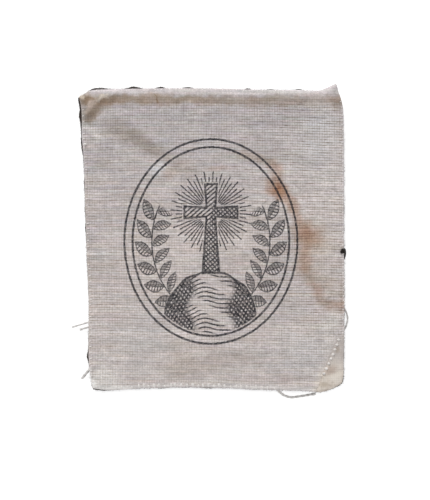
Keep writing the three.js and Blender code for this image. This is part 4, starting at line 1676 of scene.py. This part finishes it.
loose_ends = {
    name: twisted(
        f"{name}_plies", places, THREAD_RADIUS * THICKER.get(name, 1), TWIST_LENGTH,
        grey_thread if name == "thread_bottom" else loose_thread,
    )
    for name, places in LOOSE_ENDS.items()
}

# %% [markdown]
# ## The dark stitch at the right edge
#
# One knotted stitch of dark thread is left where a tape was sewn. The knot is a trefoil, the
# simplest curve that is really knotted, drawn with its formula, and the same tree twists the
# thread along it. The tail goes over the edge and down the side.

# %% Dark knotted stitch
KNOT = {"at": (23.58, -2.26), "size": 0.12, "flat": 0.1, "rise": 0.12, "gap": 0.35, "steps": 22}
KNOT_TWIST = 0.9
turns = np.linspace(KNOT["gap"], 2 * np.pi - KNOT["gap"], KNOT["steps"])
knot = np.stack([
    KNOT["at"][0] + KNOT["size"] * (np.sin(turns) + 2 * np.sin(2 * turns)),
    KNOT["at"][1] - KNOT["size"] * (np.cos(turns) - 2 * np.cos(2 * turns)),
    COTTON_FACE + KNOT["rise"] - KNOT["flat"] * np.sin(3 * turns),
], -1)
tail = [(23.9, -1.85, 2.5), (24.06, -2.3, 2.1), (24.12, -2.8, 1.7), (24.04, -3.3, 1.3), (23.9, -3.75, 1.0)]
tape_stitch = twisted("tape_stitch_knot", [*knot, *tail], THREAD_RADIUS, KNOT_TWIST, dark_thread)

# %% [markdown]
# ## Fibres
#
# Raw wool and old cotton are never clean at the edge: single fibres stand out and soften the
# outline. A tree scatters points on the cloth, more of them where an attribute says so, and
# stands a thin bent fibre on each, turned and scaled at random from a fixed seed. They are kept
# to the rims and to a sparse few on the face, where they would be seen.

# %% Fibre tree
def fibre_tree():
    """A tree that stands bent fibres on a cloth. They are shorter where the table is near."""
    inputs = {**dict.fromkeys(("Density", "Length", "Thickness", "Lean"), "Float"), "Seed": "Int"}
    tree, given, end = new_geometry_tree("loose_fibres", inputs)
    density = Wire(tree, named_value(tree, "rim", "FLOAT")) * Wire(tree, given["Density"])
    scattered = add_node(
        tree, "GeometryNodeDistributePointsOnFaces",
        {"Mesh": given["Geometry"], "Seed": given["Seed"], "Density": density},
        distribute_method="RANDOM",
    )
    length = Wire(tree, given["Length"])
    bent = arc(
        tree, 4, (0, 0, 0), vector(tree, 0.0, 0.0, length * 0.5),
        vector(tree, length * 0.1, 0.0, length * 0.8),
        vector(tree, length * 0.5, length * 0.15, length * 0.9),
    )
    fibre = swept(tree, bent, 3, given["Thickness"])
    lean = Wire(tree, given["Lean"])
    random_turn = add_node(
        tree, "FunctionNodeRandomValue",
        {0: vector(tree, lean * -1.0, lean * -1.0, -math.pi), 1: vector(tree, lean, lean, math.pi),
         "Seed": given["Seed"]},
        data_type="FLOAT_VECTOR",
    )
    turned = add_node(
        tree, "FunctionNodeRotateRotation",
        {0: scattered.outputs["Rotation"], 1: random_turn.outputs[0]}, rotation_space="LOCAL",
    )
    random_size = add_node(tree, "FunctionNodeRandomValue", {2: 0.45, 3: 1.25, "Seed": 5}, data_type="FLOAT")
    height = split(tree, add_node(tree, "GeometryNodeInputPosition").outputs[0])[2]
    shorter = Wire(tree, random_size.outputs[1]) * fade(height, 0.0, length * 1.3, 0.15, 1.0)
    placed = copies(tree, scattered.outputs["Points"], fibre, turned.outputs[0], shorter)
    finish_tree(tree, placed, given["Finish"], end)
    return tree


fibres_tree = fibre_tree()


def fibres(name, cloth, density, length, thickness, lean, seed, finish):
    """Fibres that stand on a cloth, as a piece of their own. density is per square millimetre."""
    return grown(in_scene(name, cloth.data.copy()), fibres_tree, {
        "Density": density / MM**2, "Length": length * MM, "Thickness": thickness * MM,
        "Lean": math.radians(lean), "Seed": seed, "Finish": finish,
    })


# %% Fibres of the wool and the cotton
wool_nap = fibres("wool_nap", wool, 16.0, 0.3, 0.014, 65, 3, wool_finish)

inside = depth_inside(*cotton_face["flat"].T, cotton_loop)
front_rim = np.full(len(inside) + 2 * len(cotton_face["loop"]), 0.6)
front_rim[: len(inside)] = np.where(inside < 0.7, 0.5, 0.12)
write_value(front, "rim", front_rim)
cotton_lint = fibres("cotton_lint", front, 2.4, 0.45, 0.008, 80, 8, white_thread)

# %% [markdown]
# ## Camera, light and table
#
# The photo looks straight down on the badge. A long lens some twenty-two centimetres above it
# does the same. One millimetre of cloth is about five and a half pixels, and the middle of the
# frame lies a little below the middle of the badge. The light is a broad dome with a soft lamp
# towards the top edge, so that the ribs and creases show.

# %% Camera
PIXELS_TALL = 500
MM_PER_PIXEL = 48 / 260
FRAME_MIDDLE = (0.0, -2.03)
LENS = 85
SENSOR = 36
half_tall = PIXELS_TALL * MM_PER_PIXEL / 2
height_over_face = half_tall / (SENSOR / 2 / LENS)

camera_data = bpy.data.cameras.new("camera")
camera_data.lens = LENS
camera_data.sensor_width = SENSOR
camera_data.clip_start = 0.01
camera_data.clip_end = 10
camera = in_scene("camera", camera_data)
camera.location = in_frame((*FRAME_MIDDLE, COTTON_FACE + height_over_face))
bpy.context.scene.camera = camera
print("camera over the face, mm:", round(height_over_face, 1))

# %% Light and table
def lamp(name, place, size, power, tone):
    """A square soft lamp at a place in mm that faces the middle of the badge."""
    data = bpy.data.lights.new(name, "AREA")
    data.size = size * MM
    data.energy = power
    data.color = tone
    made = in_scene(name, data)
    made.location = in_frame(place)
    made.rotation_euler = (-Vector(made.location)).to_track_quat("-Z", "Y").to_euler()


lamp("key", (-150, 330, 300), 200, 1.15, (1.0, 0.99, 0.98))
lamp("fill", (260, -120, 380), 260, 0.2, (0.97, 0.98, 1.0))

world = bpy.data.worlds.new("studio")
world.use_nodes = True
world.node_tree.nodes["Background"].inputs["Color"].default_value = (1, 1, 1, 1)
world.node_tree.nodes["Background"].inputs["Strength"].default_value = 0.5
bpy.context.scene.world = world
bpy.context.scene.view_settings.view_transform = "Standard"

TABLE_SIZE = 3000
table_mesh = bpy.data.meshes.new("table")
half = TABLE_SIZE / 2 * MM
table_corners = [(-half, -half, 0), (half, -half, 0), (half, half, 0), (-half, half, 0)]
table_mesh.from_pydata(table_corners, [], [(0, 1, 2, 3)])
table = in_scene("table", table_mesh)
table_finish = bpy.data.materials.new("pale_table")
table_finish.use_nodes = True
table_shader = table_finish.node_tree.nodes["Principled BSDF"]
for name, value in {
    "Base Color": (0.6, 0.6, 0.6, 1), "Roughness": 0.9, "Specular IOR Level": 0.1,
    "Emission Color": (1, 1, 1, 1), "Emission Strength": 0.72,
}.items():
    table_shader.inputs[name].default_value = value
table_mesh.materials.append(table_finish)

# %% [markdown]
# ## What stands for what
#
# Every piece rides on the one body. The sizes the cloths were cut to are worked out and printed:
# the cotton has its turnings added, and the wool is cut to the badge. The loose threads
# stand for the plain solids of the imported model.

# %% Ride and replace, and the cut sizes
PIECES = [
    (front, "cotton", "front_panel"),
    (lining, "lining", "corner_lining"),
    (wool, "wool", "back_panel"),
    (tape_stitch, "dark_thread", "tape_stitch"),
    *((piece, "sewing_thread", name) for name, piece in loose_ends.items()),
    *((sewing, "sewing_thread", None) for sewing in [*sewn, corner_stitches, cotton_lint]),
    (wool_nap, "wool", None),
]
for piece, slot, node in PIECES:
    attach(piece, "root")
    if node:
        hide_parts(node)

cotton_cut = tuple((size + 2 * TURNING + 2) * MM)
wool_cut = tuple((wool_high - wool_low) * MM)
print("cut sizes, mm:", [[round(side / MM, 1) for side in cut] for cut in (cotton_cut, wool_cut)])
